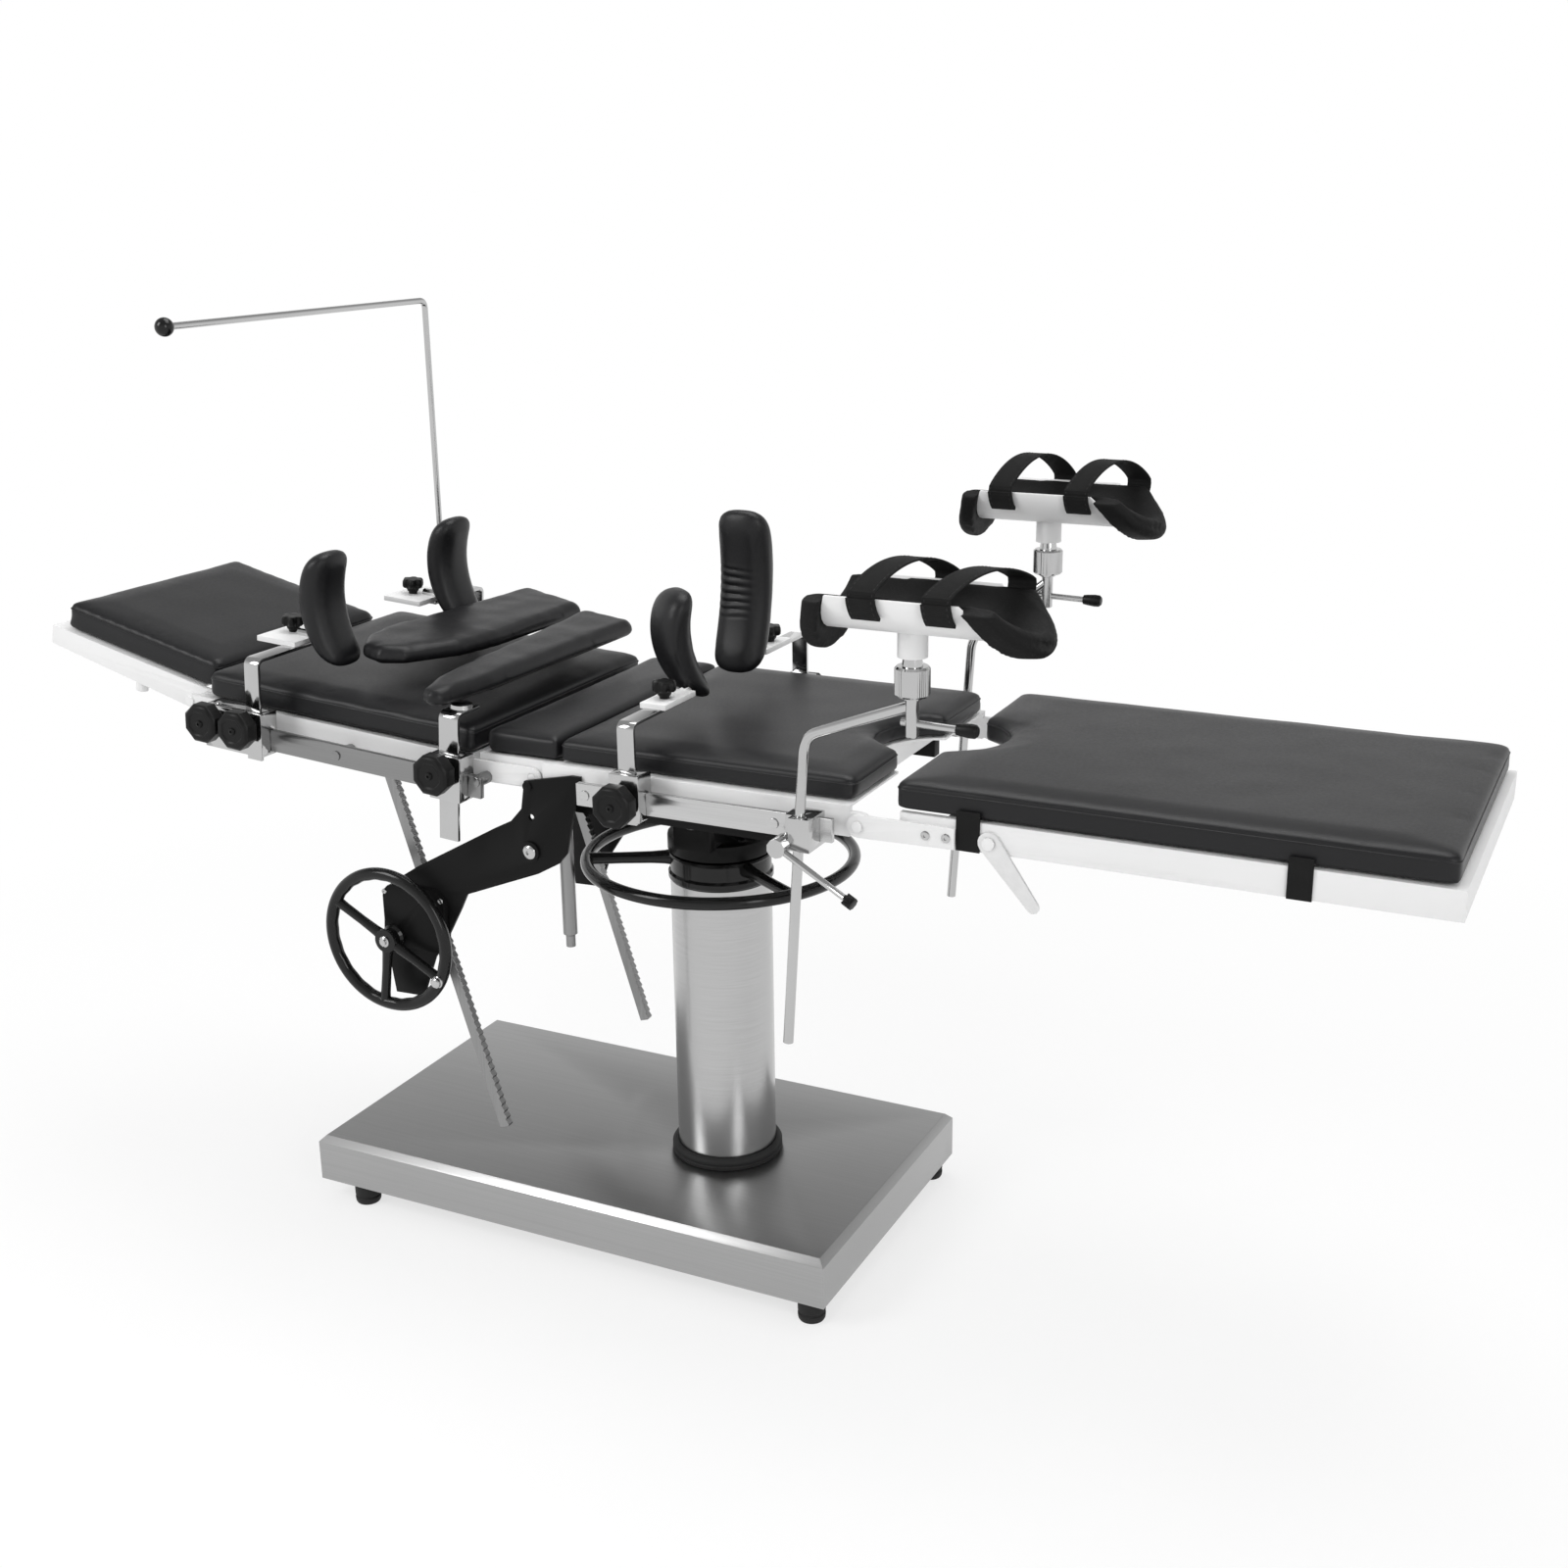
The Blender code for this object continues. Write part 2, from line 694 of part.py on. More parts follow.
def inset(outline, distance):
    """Move each point of a counter-clockwise outline inwards, square to its two edges."""
    moved = []
    count = len(outline)
    for index, (here_a, here_u) in enumerate(outline):
        back_a, back_u = outline[index - 1]
        next_a, next_u = outline[(index + 1) % count]
        first = Vector((here_a - back_a, here_u - back_u)).normalized()
        second = Vector((next_a - here_a, next_u - here_u)).normalized()
        normal = Vector((-(first.y + second.y), first.x + second.x)).normalized()
        reach = distance / max(normal.dot(Vector((-first.y, first.x))), 0.5)
        moved.append((here_a + normal.x * reach, here_u + normal.y * reach))
    return moved


def spread(shares, across, up):
    """Outline points from their shares of two (low, high) spans."""
    width = across[1] - across[0]
    height = up[1] - up[0]
    return [(across[0] + one * width, up[0] + two * height) for one, two in shares]


def drawn_in(outline, distance):
    """Shrink an outline about its middle, by the distance at its nearer sides."""
    acrosses = [across for across, _ in outline]
    ups = [up for _, up in outline]
    middle_a, middle_u = (min(acrosses) + max(acrosses)) / 2, (min(ups) + max(ups)) / 2
    reach = min(max(acrosses) - min(acrosses), max(ups) - min(ups)) / 2
    share = 1.0 - distance / reach
    return [(middle_a + (across - middle_a) * share, middle_u + (up - middle_u) * share)
            for across, up in outline]


def cushion(outline, bottom, top):
    """A padded slab: rounded edges, drawn-in sides and a low crown."""
    shoulder = top - CUSHION_CROWN
    rim = CUSHION_EDGE * CUSHION_RIM_SHARE
    middle = (bottom + shoulder) / 2
    steps = ((CUSHION_EDGE, bottom), (rim, bottom + rim), (0.0, bottom + CUSHION_EDGE),
             (CUSHION_DRAW, middle), (0.0, shoulder - CUSHION_EDGE), (rim, shoulder - rim),
             (CUSHION_EDGE, shoulder))
    rings = [[(x, y, level) for x, y in inset(outline, distance)] for distance, level in steps]
    rings.append([(x, y, top) for x, y in drawn_in(outline, CUSHION_CROWN_INSET)])
    return ringed(rings)


# Base and column
def build_base(root):
    half_length = BASE_LENGTH / 2
    half_width = BASE_WIDTH / 2
    inner_top = BASE_TOP - COVER_WALL

    def shell(shrink, low, high):
        levels = ((shrink, low), (shrink, high - BASE_FOLD), (shrink + BASE_FOLD, high))
        rings = []
        for margin, level in levels:
            side_x = half_length - margin
            side_y = half_width - margin
            rings.append([(-side_x, -side_y, level), (side_x, -side_y, level),
                          (side_x, side_y, level), (-side_x, side_y, level)])
        return ringed(rings)

    opening = cylinder("Z", COLUMN_X, 0.0, SLEEVE_RADIUS + GAP, BASE_BOTTOM, BASE_TOP + OVERRUN,
                       COLUMN_SIDES)
    inside = shell(COVER_WALL, BASE_BOTTOM - OVERRUN, inner_top)
    cover = cut(shell(0.0, BASE_BOTTOM, BASE_TOP), inside, opening)
    finish(cover, "base_cover", "brushed_steel", root)

    inside_x = half_length - COVER_WALL - GAP
    inside_y = half_width - COVER_WALL - GAP
    plate = box((-inside_x, inside_x), (-inside_y, inside_y),
                (BASE_BOTTOM, BASE_BOTTOM + CHASSIS_THICKNESS))
    pedestal = cylinder("Z", COLUMN_X, 0.0, PEDESTAL_RADIUS, BASE_BOTTOM + BITE, inner_top - GAP,
                        COLUMN_SIDES)
    finish(joined(plate, pedestal), "base_chassis", "cast_iron", root)

    for end, x in (("head", FOOT_HEAD_INSET - half_length), ("foot", half_length - FOOT_FOOT_INSET)):
        for side, word in ((NEAR, "near"), (FAR, "far")):
            top = BASE_BOTTOM - GAP
            profile = ((FOOT_RADIUS - FOOT_EDGE, 0.0), (FOOT_RADIUS, FOOT_EDGE), (FOOT_RADIUS, top))
            foot = turned("Z", x, half_width - FOOT_SIDE_INSET, profile)
            finish(foot, "foot_" + end + "_" + word, "rubber", root, side)


def build_column(root, lift, wheel):
    sleeve_bottom = BASE_TOP - COVER_WALL
    outer = cylinder("Z", COLUMN_X, 0.0, SLEEVE_RADIUS, sleeve_bottom, SLEEVE_TOP, COLUMN_SIDES)
    bore = cylinder("Z", COLUMN_X, 0.0, INNER_RADIUS + RUNNING_GAP, sleeve_bottom - OVERRUN,
                    SLEEVE_TOP + OVERRUN, COLUMN_SIDES)
    finish(cut(outer, bore), "column_sleeve", "column_steel", root)

    ring_bottom = BASE_TOP + GAP
    ring_top = ring_bottom + RING_HEIGHT
    profile = ((RING_RADIUS, ring_bottom), (RING_RADIUS, ring_top - RING_EDGE),
               (RING_RADIUS - RING_EDGE, ring_top))
    ring = cut(turned("Z", COLUMN_X, 0.0, profile, RING_SIDES),
               cylinder("Z", COLUMN_X, 0.0, SLEEVE_RADIUS + GAP, ring_bottom - OVERRUN,
                        ring_top + OVERRUN, COLUMN_SIDES))
    finish(ring, "column_ring", "rubber", root)

    hub_bottom = SLEEVE_TOP + GAP
    hub = cylinder("Z", COLUMN_X, 0.0, LIFT_HUB_RADIUS, hub_bottom, LIFT_HUB_TOP, COLUMN_SIDES)
    rim = hoop("Z", COLUMN_X, 0.0, LIFT_WHEEL_Z, LIFT_WHEEL_RADIUS, LIFT_WHEEL_TUBE)
    spokes = []
    for angle in LIFT_SPOKE_ANGLES:
        turn = math.radians(angle)
        inner = LIFT_HUB_RADIUS - LIFT_SPOKE_RADIUS
        ends = [(COLUMN_X + reach * math.cos(turn), reach * math.sin(turn), LIFT_WHEEL_Z)
                for reach in (inner, LIFT_WHEEL_RADIUS)]
        spokes.append(rod(*ends, LIFT_SPOKE_RADIUS, TUBE_SIDES, LIFT_WHEEL_TUBE * LIFT_SPOKE_END_SHARE))
    bore = cylinder("Z", COLUMN_X, 0.0, INNER_RADIUS + RUNNING_GAP, hub_bottom - OVERRUN,
                    LIFT_HUB_TOP + OVERRUN, COLUMN_SIDES)
    finish(cut(joined(hub, rim, *spokes), bore), "lift_wheel", "gloss_black", wheel)

    inner = cylinder("Z", COLUMN_X, 0.0, INNER_RADIUS, INNER_BOTTOM, FLANGE_BOTTOM + BITE, COLUMN_SIDES)
    flange = cylinder("Z", COLUMN_X, 0.0, FLANGE_RADIUS, FLANGE_BOTTOM, FLANGE_TOP, COLUMN_SIDES)
    pieces = [flange]
    for index in range(FLANGE_BOLT_COUNT):
        turn = math.tau * (index + 0.5) / FLANGE_BOLT_COUNT
        bolt_x = COLUMN_X + FLANGE_BOLT_CIRCLE * math.cos(turn)
        bolt_y = FLANGE_BOLT_CIRCLE * math.sin(turn)
        pieces.append(cylinder("Z", bolt_x, bolt_y, FLANGE_BOLT_RADIUS, FLANGE_TOP - BITE,
                               FLANGE_TOP + FLANGE_BOLT_HEIGHT, FLANGE_BOLT_SIDES))
    for side in (NEAR, FAR):
        faces = sorted((side * CHEEK_INNER_Y, side * (CHEEK_INNER_Y + CHEEK_THICKNESS)))
        low_x, high_x = COLUMN_X - CHEEK_HALF_LENGTH, COLUMN_X + CHEEK_HALF_LENGTH
        crown = arc(COLUMN_X, CHEEK_TOP - CHEEK_HALF_LENGTH, CHEEK_HALF_LENGTH, 0.0, 180.0, 8)
        outline = [(low_x, FLANGE_TOP), (high_x, FLANGE_TOP)] + crown
        pieces.append(prism(outline, "Y", *faces))
        toe = sorted((side * (CHEEK_INNER_Y - CHEEK_FOOT), side * (CHEEK_INNER_Y + CHEEK_THICKNESS)))
        pieces.append(box((low_x, high_x), toe, (FLANGE_TOP - BITE * 2, FLANGE_TOP + BITE)))
    bore = cylinder("Y", COLUMN_X, PITCH_Z, JOURNAL_RADIUS + RUNNING_GAP, -BASE_WIDTH / 2, BASE_WIDTH / 2)
    finish(cut(joined(inner, *pieces), bore), "lift_column", "black_enamel", lift)


def build_pitch_block(pitch):
    low_x, high_x = COLUMN_X - PITCH_BLOCK_HALF_LENGTH, COLUMN_X + PITCH_BLOCK_HALF_LENGTH
    half_y = CHEEK_INNER_Y - RUNNING_GAP
    block = box((low_x, high_x), (-half_y, half_y), (PITCH_BLOCK_BOTTOM, PITCH_BLOCK_TOP))
    cheek_outer = CHEEK_INNER_Y + CHEEK_THICKNESS
    trunnion = cylinder("Y", COLUMN_X, PITCH_Z, JOURNAL_RADIUS, -cheek_outer, cheek_outer)
    reach = LUG_INNER + LUG_THICKNESS + RUNNING_GAP
    journal = cylinder("X", 0.0, ROLL_Z, JOURNAL_RADIUS, COLUMN_X - reach, COLUMN_X + reach)
    finish(joined(block, trunnion, journal), "pitch_block", "black_enamel", pitch)


# Seat section
def build_subframe(seat):
    top = SEAT_FRAME_BOTTOM - GAP
    levels = (SUBFRAME_BOTTOM, top)
    pieces = []
    for side in (NEAR, FAR):
        faces = sorted((side * (BEAM_OUTER_Y - BEAM_WIDTH), side * BEAM_OUTER_Y))
        pieces.append(box((BEAM_HEAD_X, BEAM_FOOT_X), faces, levels))
    for end in (-1, 1):
        faces = sorted((COLUMN_X + end * LUG_INNER, COLUMN_X + end * (LUG_INNER + LUG_THICKNESS)))
        reach = BEAM_OUTER_Y - BITE
        pieces.append(box(faces, (-reach, reach), levels))
        outline = [(LUG_ROUND, SUBFRAME_BOTTOM + BITE), (-LUG_ROUND, SUBFRAME_BOTTOM + BITE)]
        outline += arc(0.0, ROLL_Z, LUG_ROUND, 180.0, 360.0, 10)
        pieces.append(prism(outline, "X", *faces))
    bore = cylinder("X", 0.0, ROLL_Z, JOURNAL_RADIUS + RUNNING_GAP, COLUMN_X - BASE_LENGTH / 2,
                    COLUMN_X + BASE_LENGTH / 2)
    frame = joined(pieces[0], *pieces[1:])
    finish(cut(frame, bore), "seat_subframe", "black_enamel", seat)


def build_seat_frame(seat):
    low, high = SEAT_FRAME_BOTTOM, SEAT_FRAME_TOP
    strip_inner = SEAT_OUTER_Y - SEAT_STRIP
    inner_strip = SEAT_INNER_OUTER_Y - SEAT_STRIP
    sheet_bottom = high - FRAME_SHEET
    bridge_bar_x = SEAT_HEAD_X + CROSS_BAR
    pieces = []
    for side in (NEAR, FAR):
        outer = sorted((side * strip_inner, side * SEAT_OUTER_Y))
        inner = sorted((side * inner_strip, side * SEAT_INNER_OUTER_Y))
        pieces.append(box((SEAT_STEP_X, SEAT_FOOT_X), outer, (low, high)))
        pieces.append(box((SEAT_HEAD_X, SEAT_CUSHION_HEAD_X), inner, (low, high)))
        lug = arc(LEG_HINGE_X, LEG_HINGE_Z, LEG_ARM_RADIUS, -90.0, 90.0, 8)
        lug += [(SEAT_FOOT_X - CROSS_BAR, LEG_HINGE_Z + LEG_ARM_RADIUS),
                (SEAT_FOOT_X - CROSS_BAR, LEG_HINGE_Z - LEG_ARM_RADIUS)]
        pieces.append(prism(lug, "Y", *outer))
        pin_faces = sorted((side * (SEAT_INNER_OUTER_Y - BITE),
                            side * (BACK_ARM_INNER_Y + BACK_ARM_THICKNESS + GAP)))
        pieces.append(cylinder("Y", BACK_HINGE_X, BACK_HINGE_Z, HINGE_PIN_RADIUS, *pin_faces))
        head_y = LEG_ARM_INNER_Y + LEG_ARM_THICKNESS + GAP
        stub = sorted((side * (SEAT_OUTER_Y - BITE), side * (head_y + BITE)))
        cap = sorted((side * head_y, side * (head_y + BOLT_HEIGHT)))
        pieces.append(cylinder("Y", LEG_HINGE_X, LEG_HINGE_Z, HINGE_PIN_RADIUS, *stub))
        pieces.append(cylinder("Y", LEG_HINGE_X, LEG_HINGE_Z, BOLT_RADIUS, *cap, SMALL_SIDES))
        guide_y = sorted((side * GUIDE_INNER_Y, side * (inner_strip + BITE)))
        guide = box((BRIDGE_ROD_X - GUIDE_HALF_LENGTH, BRIDGE_ROD_X + GUIDE_HALF_LENGTH), guide_y,
                    (low, BRIDGE_SEAT_Z))
        pieces.append(guide)
    pieces.append(box((SEAT_HEAD_X, bridge_bar_x), (-inner_strip - BITE, inner_strip + BITE),
                      (low, BRIDGE_SEAT_Z)))
    reach = strip_inner + BITE
    for start in (SEAT_CUSHION_HEAD_X, SEAT_CROSS_FOOT_X):
        pieces.append(box((start, start + CROSS_BAR), (-reach, reach), (low, sheet_bottom + BITE)))
    sheet = box((SEAT_CUSHION_HEAD_X, SEAT_FOOT_X), (-reach, reach), (sheet_bottom, high))
    pieces.append(sheet)
    frame = joined(pieces[0], *pieces[1:])
    notch = cylinder("Z", NOTCH_X, 0.0, NOTCH_RADIUS + FRAME_SHEET, low - OVERRUN, high + OVERRUN,
                     COLUMN_SIDES)
    holes = [cylinder("Z", BRIDGE_ROD_X, side * BRIDGE_ROD_Y, BRIDGE_ROD_RADIUS + RUNNING_GAP,
                      low - OVERRUN, high + OVERRUN) for side in (NEAR, FAR)]
    finish(cut(frame, notch, *holes), "seat_frame", "white_enamel", seat)


def build_rail(name, parent, side, ends, bottom, spacers):
    """A side rail; spacers lists where its spacers stand as (x, z, frame face y)."""
    outer = RAIL_INNER_Y + RAIL_THICKNESS
    rail = box(ends, (RAIL_INNER_Y, outer), (bottom, bottom + RAIL_HEIGHT))
    pieces = []
    for x, z, frame_y in spacers:
        pieces.append(cylinder("Y", x, z, SPACER_RADIUS, frame_y + GAP, RAIL_INNER_Y + BITE, SMALL_SIDES))
        pieces.append(cylinder("Y", x, z, BOLT_RADIUS, outer - BITE, outer + BOLT_HEIGHT, SMALL_SIDES))
    finish(joined(rail, *pieces), name, "brushed_steel", parent, side)


def seat_outline():
    half = CUSHION_HALF_WIDTH
    corner = CUSHION_CORNER
    opening = math.degrees(math.acos((SEAT_CUSHION_FOOT_X - NOTCH_X) / NOTCH_RADIUS))
    foot_x = SEAT_CUSHION_FOOT_X
    head_x = SEAT_CUSHION_HEAD_X
    points = arc(head_x + corner, -half + corner, corner, 180.0, 270.0, 3)
    points += arc(foot_x - corner, -half + corner, corner, 270.0, 360.0, 3)
    points += arc(NOTCH_X, 0.0, NOTCH_RADIUS, 360.0 - opening, opening, 12)
    points += arc(foot_x - corner, half - corner, corner, 0.0, 90.0, 3)
    points += arc(head_x + corner, half - corner, corner, 90.0, 180.0, 3)
    return points


def leg_outline():
    half = LEG_CUSHION_HALF_WIDTH
    corner = CUSHION_CORNER
    opening = math.degrees(math.acos((LEG_CUSHION_HEAD_X - NOTCH_X) / NOTCH_RADIUS))
    head_x = LEG_CUSHION_HEAD_X
    foot_x = LEG_CUSHION_FOOT_X
    points = arc(foot_x - corner, -half + corner, corner, 270.0, 360.0, 3)
    points += arc(foot_x - corner, half - corner, corner, 0.0, 90.0, 3)
    points += arc(head_x + corner, half - corner, corner, 90.0, 180.0, 3)
    points += arc(NOTCH_X, 0.0, NOTCH_RADIUS, opening, -opening, 12)
    points += arc(head_x + corner, -half + corner, corner, 180.0, 270.0, 3)
    return points


def build_seat(seat):
    build_subframe(seat)
    build_seat_frame(seat)
    rail_z = SEAT_RAIL_BOTTOM + RAIL_HEIGHT / 2
    spacers = [(x, rail_z, SEAT_OUTER_Y)
               for x in (SEAT_RAIL_HEAD_X + SPACER_INSET, SEAT_CROSS_FOOT_X - SPACER_INSET)]
    for side, word in ((NEAR, "near"), (FAR, "far")):
        build_rail("seat_rail_" + word, seat, side, (SEAT_RAIL_HEAD_X, SEAT_RAIL_FOOT_X),
                   SEAT_RAIL_BOTTOM, spacers)
    padding = cushion(seat_outline(), SEAT_FRAME_TOP + GAP, CUSHION_TOP)
    finish(padding, "seat_cushion", "black_leatherette", seat)


def gearbox():
    outline = rounded_box((GEARBOX_HEAD_X + GEARBOX_INSET, GEARBOX_FOOT_X - GEARBOX_INSET),
                          (GEARBOX_BOTTOM + GEARBOX_INSET, GEARBOX_TOP - GEARBOX_INSET), GEARBOX_CORNER)
    return prism(outline, "Y", SEAT_OUTER_Y + GAP + BITE, GEARBOX_OUTER_Y)


def build_arm_plates(seat):
    inner = SEAT_OUTER_Y + GAP
    outer = inner + PLATE_THICKNESS
    outline = spread(PLATE_OUTLINE_SHARES, (PLATE_HEAD_X, PLATE_FOOT_X), (PLATE_BOTTOM, PLATE_TOP))
    for side, word in ((NEAR, "near"), (FAR, "far")):
        plate = prism(outline, "Y", inner, outer)
        extras = [cylinder("Y", PLATE_PIN_X, PLATE_PIN_Z, PLATE_PIN_RADIUS, outer - BITE,
                           outer + PLATE_PIN_HEIGHT),
                  cylinder("Y", PLATE_PIN_X, PLATE_SCREW_Z, BOLT_RADIUS, outer - BITE,
                           outer + BOLT_HEIGHT, SMALL_SIDES)]
        cuts = [cylinder("Y", PLATE_HOLE_X, PLATE_HOLE_Z, PLATE_HOLE_RADIUS, inner - OVERRUN,
                         outer + OVERRUN, SMALL_SIDES),
                cylinder("Y", *pinion_centre(), PINION_SHAFT_RADIUS + RUNNING_GAP, inner - OVERRUN,
                         outer - BITE / 2)]
        if side == NEAR:
            extras.append(gearbox())
            cuts.append(cylinder("Y", SIDE_WHEEL_X, SIDE_WHEEL_Z, WHEEL_SHAFT_RADIUS + RUNNING_GAP,
                                 inner - OVERRUN, GEARBOX_OUTER_Y + OVERRUN))
        finish(cut(joined(plate, *extras), *cuts), "arm_plate_" + word, "black_enamel", seat, side)


def turned_about(point, centre, degrees):
    """An (x, z) point turned about Y by the right-hand rule."""
    turn = math.radians(degrees)
    x, z = point[0] - centre[0], point[1] - centre[1]
    return (centre[0] + x * math.cos(turn) + z * math.sin(turn),
            centre[1] - x * math.sin(turn) + z * math.cos(turn))


def rack_pivot():
    """The rack's pin with the back at its resting angle."""
    return turned_about((RACK_PIVOT_X, RACK_PIVOT_Z), (BACK_HINGE_X, BACK_HINGE_Z), BACK_RAISE)


def pinion_centre():
    """Beside the teeth of the resting rack, clear of it by the gap at the open pivot."""
    pivot = rack_pivot()
    reach = RACK_WIDTH / 2 + RACK_PINION_GAP + PINION_RADIUS
    return turned_about((pivot[0] + reach, pivot[1] - RACK_PINION_DROP), pivot, RACK_LEAN)


def build_pinion(pinion):
    pinion_x, pinion_z = pinion_centre()
    reach = SEAT_OUTER_Y + GAP + PLATE_THICKNESS / 2
    shaft = cylinder("Y", pinion_x, pinion_z, PINION_SHAFT_RADIUS, -reach, reach)
    gears = []
    for side in (NEAR, FAR):
        outline = []
        for index in range(PINION_TEETH * 2):
            turn = math.tau * index / (PINION_TEETH * 2)
            radius = PINION_RADIUS - (index % 2) * PINION_TOOTH_DEPTH
            outline.append((pinion_x + radius * math.cos(turn), pinion_z + radius * math.sin(turn)))
        faces = sorted((side * (RACK_Y - RACK_THICKNESS), side * (RACK_Y + RACK_THICKNESS)))
        gears.append(prism(outline, "Y", *faces))
    finish(joined(shaft, *gears), "pinion_shaft", "satin_steel", pinion)


def build_side_wheel(side_wheel):
    hub = cylinder("Y", SIDE_WHEEL_X, SIDE_WHEEL_Z, SIDE_HUB_RADIUS, GEARBOX_OUTER_Y + GAP,
                   GEARBOX_OUTER_Y + GAP + SIDE_HUB_LENGTH)
    shaft = cylinder("Y", SIDE_WHEEL_X, SIDE_WHEEL_Z, WHEEL_SHAFT_RADIUS, SEAT_OUTER_Y + GAP,
                     GEARBOX_OUTER_Y + BITE)
    rim = hoop("Y", SIDE_WHEEL_X, SIDE_WHEEL_Z, SIDE_WHEEL_Y, SIDE_WHEEL_RADIUS, SIDE_WHEEL_TUBE)
    spokes = []
    for angle in SIDE_SPOKE_ANGLES:
        turn = math.radians(angle)
        ends = [(SIDE_WHEEL_X + reach * math.cos(turn), SIDE_WHEEL_Y, SIDE_WHEEL_Z + reach * math.sin(turn))
                for reach in (SIDE_HUB_RADIUS / 2, SIDE_WHEEL_RADIUS)]
        spokes.append(rod(*ends, SIDE_SPOKE_RADIUS, TUBE_SIDES))
    turn = math.radians(SIDE_SPOKE_ANGLES[1])
    stud_x = SIDE_WHEEL_X + SIDE_WHEEL_RADIUS * math.cos(turn)
    stud_z = SIDE_WHEEL_Z + SIDE_WHEEL_RADIUS * math.sin(turn)
    stud = cylinder("Y", stud_x, stud_z, SIDE_STUD_RADIUS, SIDE_WHEEL_Y,
                    SIDE_WHEEL_Y + SIDE_WHEEL_TUBE + SIDE_STUD_LENGTH, SMALL_SIDES)
    finish(joined(hub, shaft, rim, stud, *spokes), "side_wheel", "gloss_black", side_wheel, NEAR)


def build_bridge(bridge):
    low_x = BRIDGE_HEAD_X + BRIDGE_MARGIN
    high_x = BRIDGE_FOOT_X - BRIDGE_MARGIN
    plate = box((low_x, high_x), (-BRIDGE_HALF_WIDTH, BRIDGE_HALF_WIDTH),
                (BRIDGE_SEAT_Z + GAP, SEAT_FRAME_TOP))
    rods = []
    for side in (NEAR, FAR):
        step = BRIDGE_ROD_BOTTOM + BRIDGE_TIP_LENGTH
        profile = ((BRIDGE_TIP_RADIUS, BRIDGE_ROD_BOTTOM), (BRIDGE_TIP_RADIUS, step),
                   (BRIDGE_ROD_RADIUS, step + BITE), (BRIDGE_ROD_RADIUS, SEAT_FRAME_TOP - BITE))
        rods.append(turned("Z", BRIDGE_ROD_X, side * BRIDGE_ROD_Y, profile))
    finish(joined(plate, *rods), "bridge_frame", "satin_steel", bridge)
    outline = rounded_box((BRIDGE_HEAD_X, BRIDGE_FOOT_X), (-CUSHION_HALF_WIDTH, CUSHION_HALF_WIDTH),
                          CUSHION_CORNER)
    padding = cushion(outline, SEAT_FRAME_TOP + GAP, CUSHION_TOP)
    finish(padding, "bridge_pad", "black_leatherette", bridge)


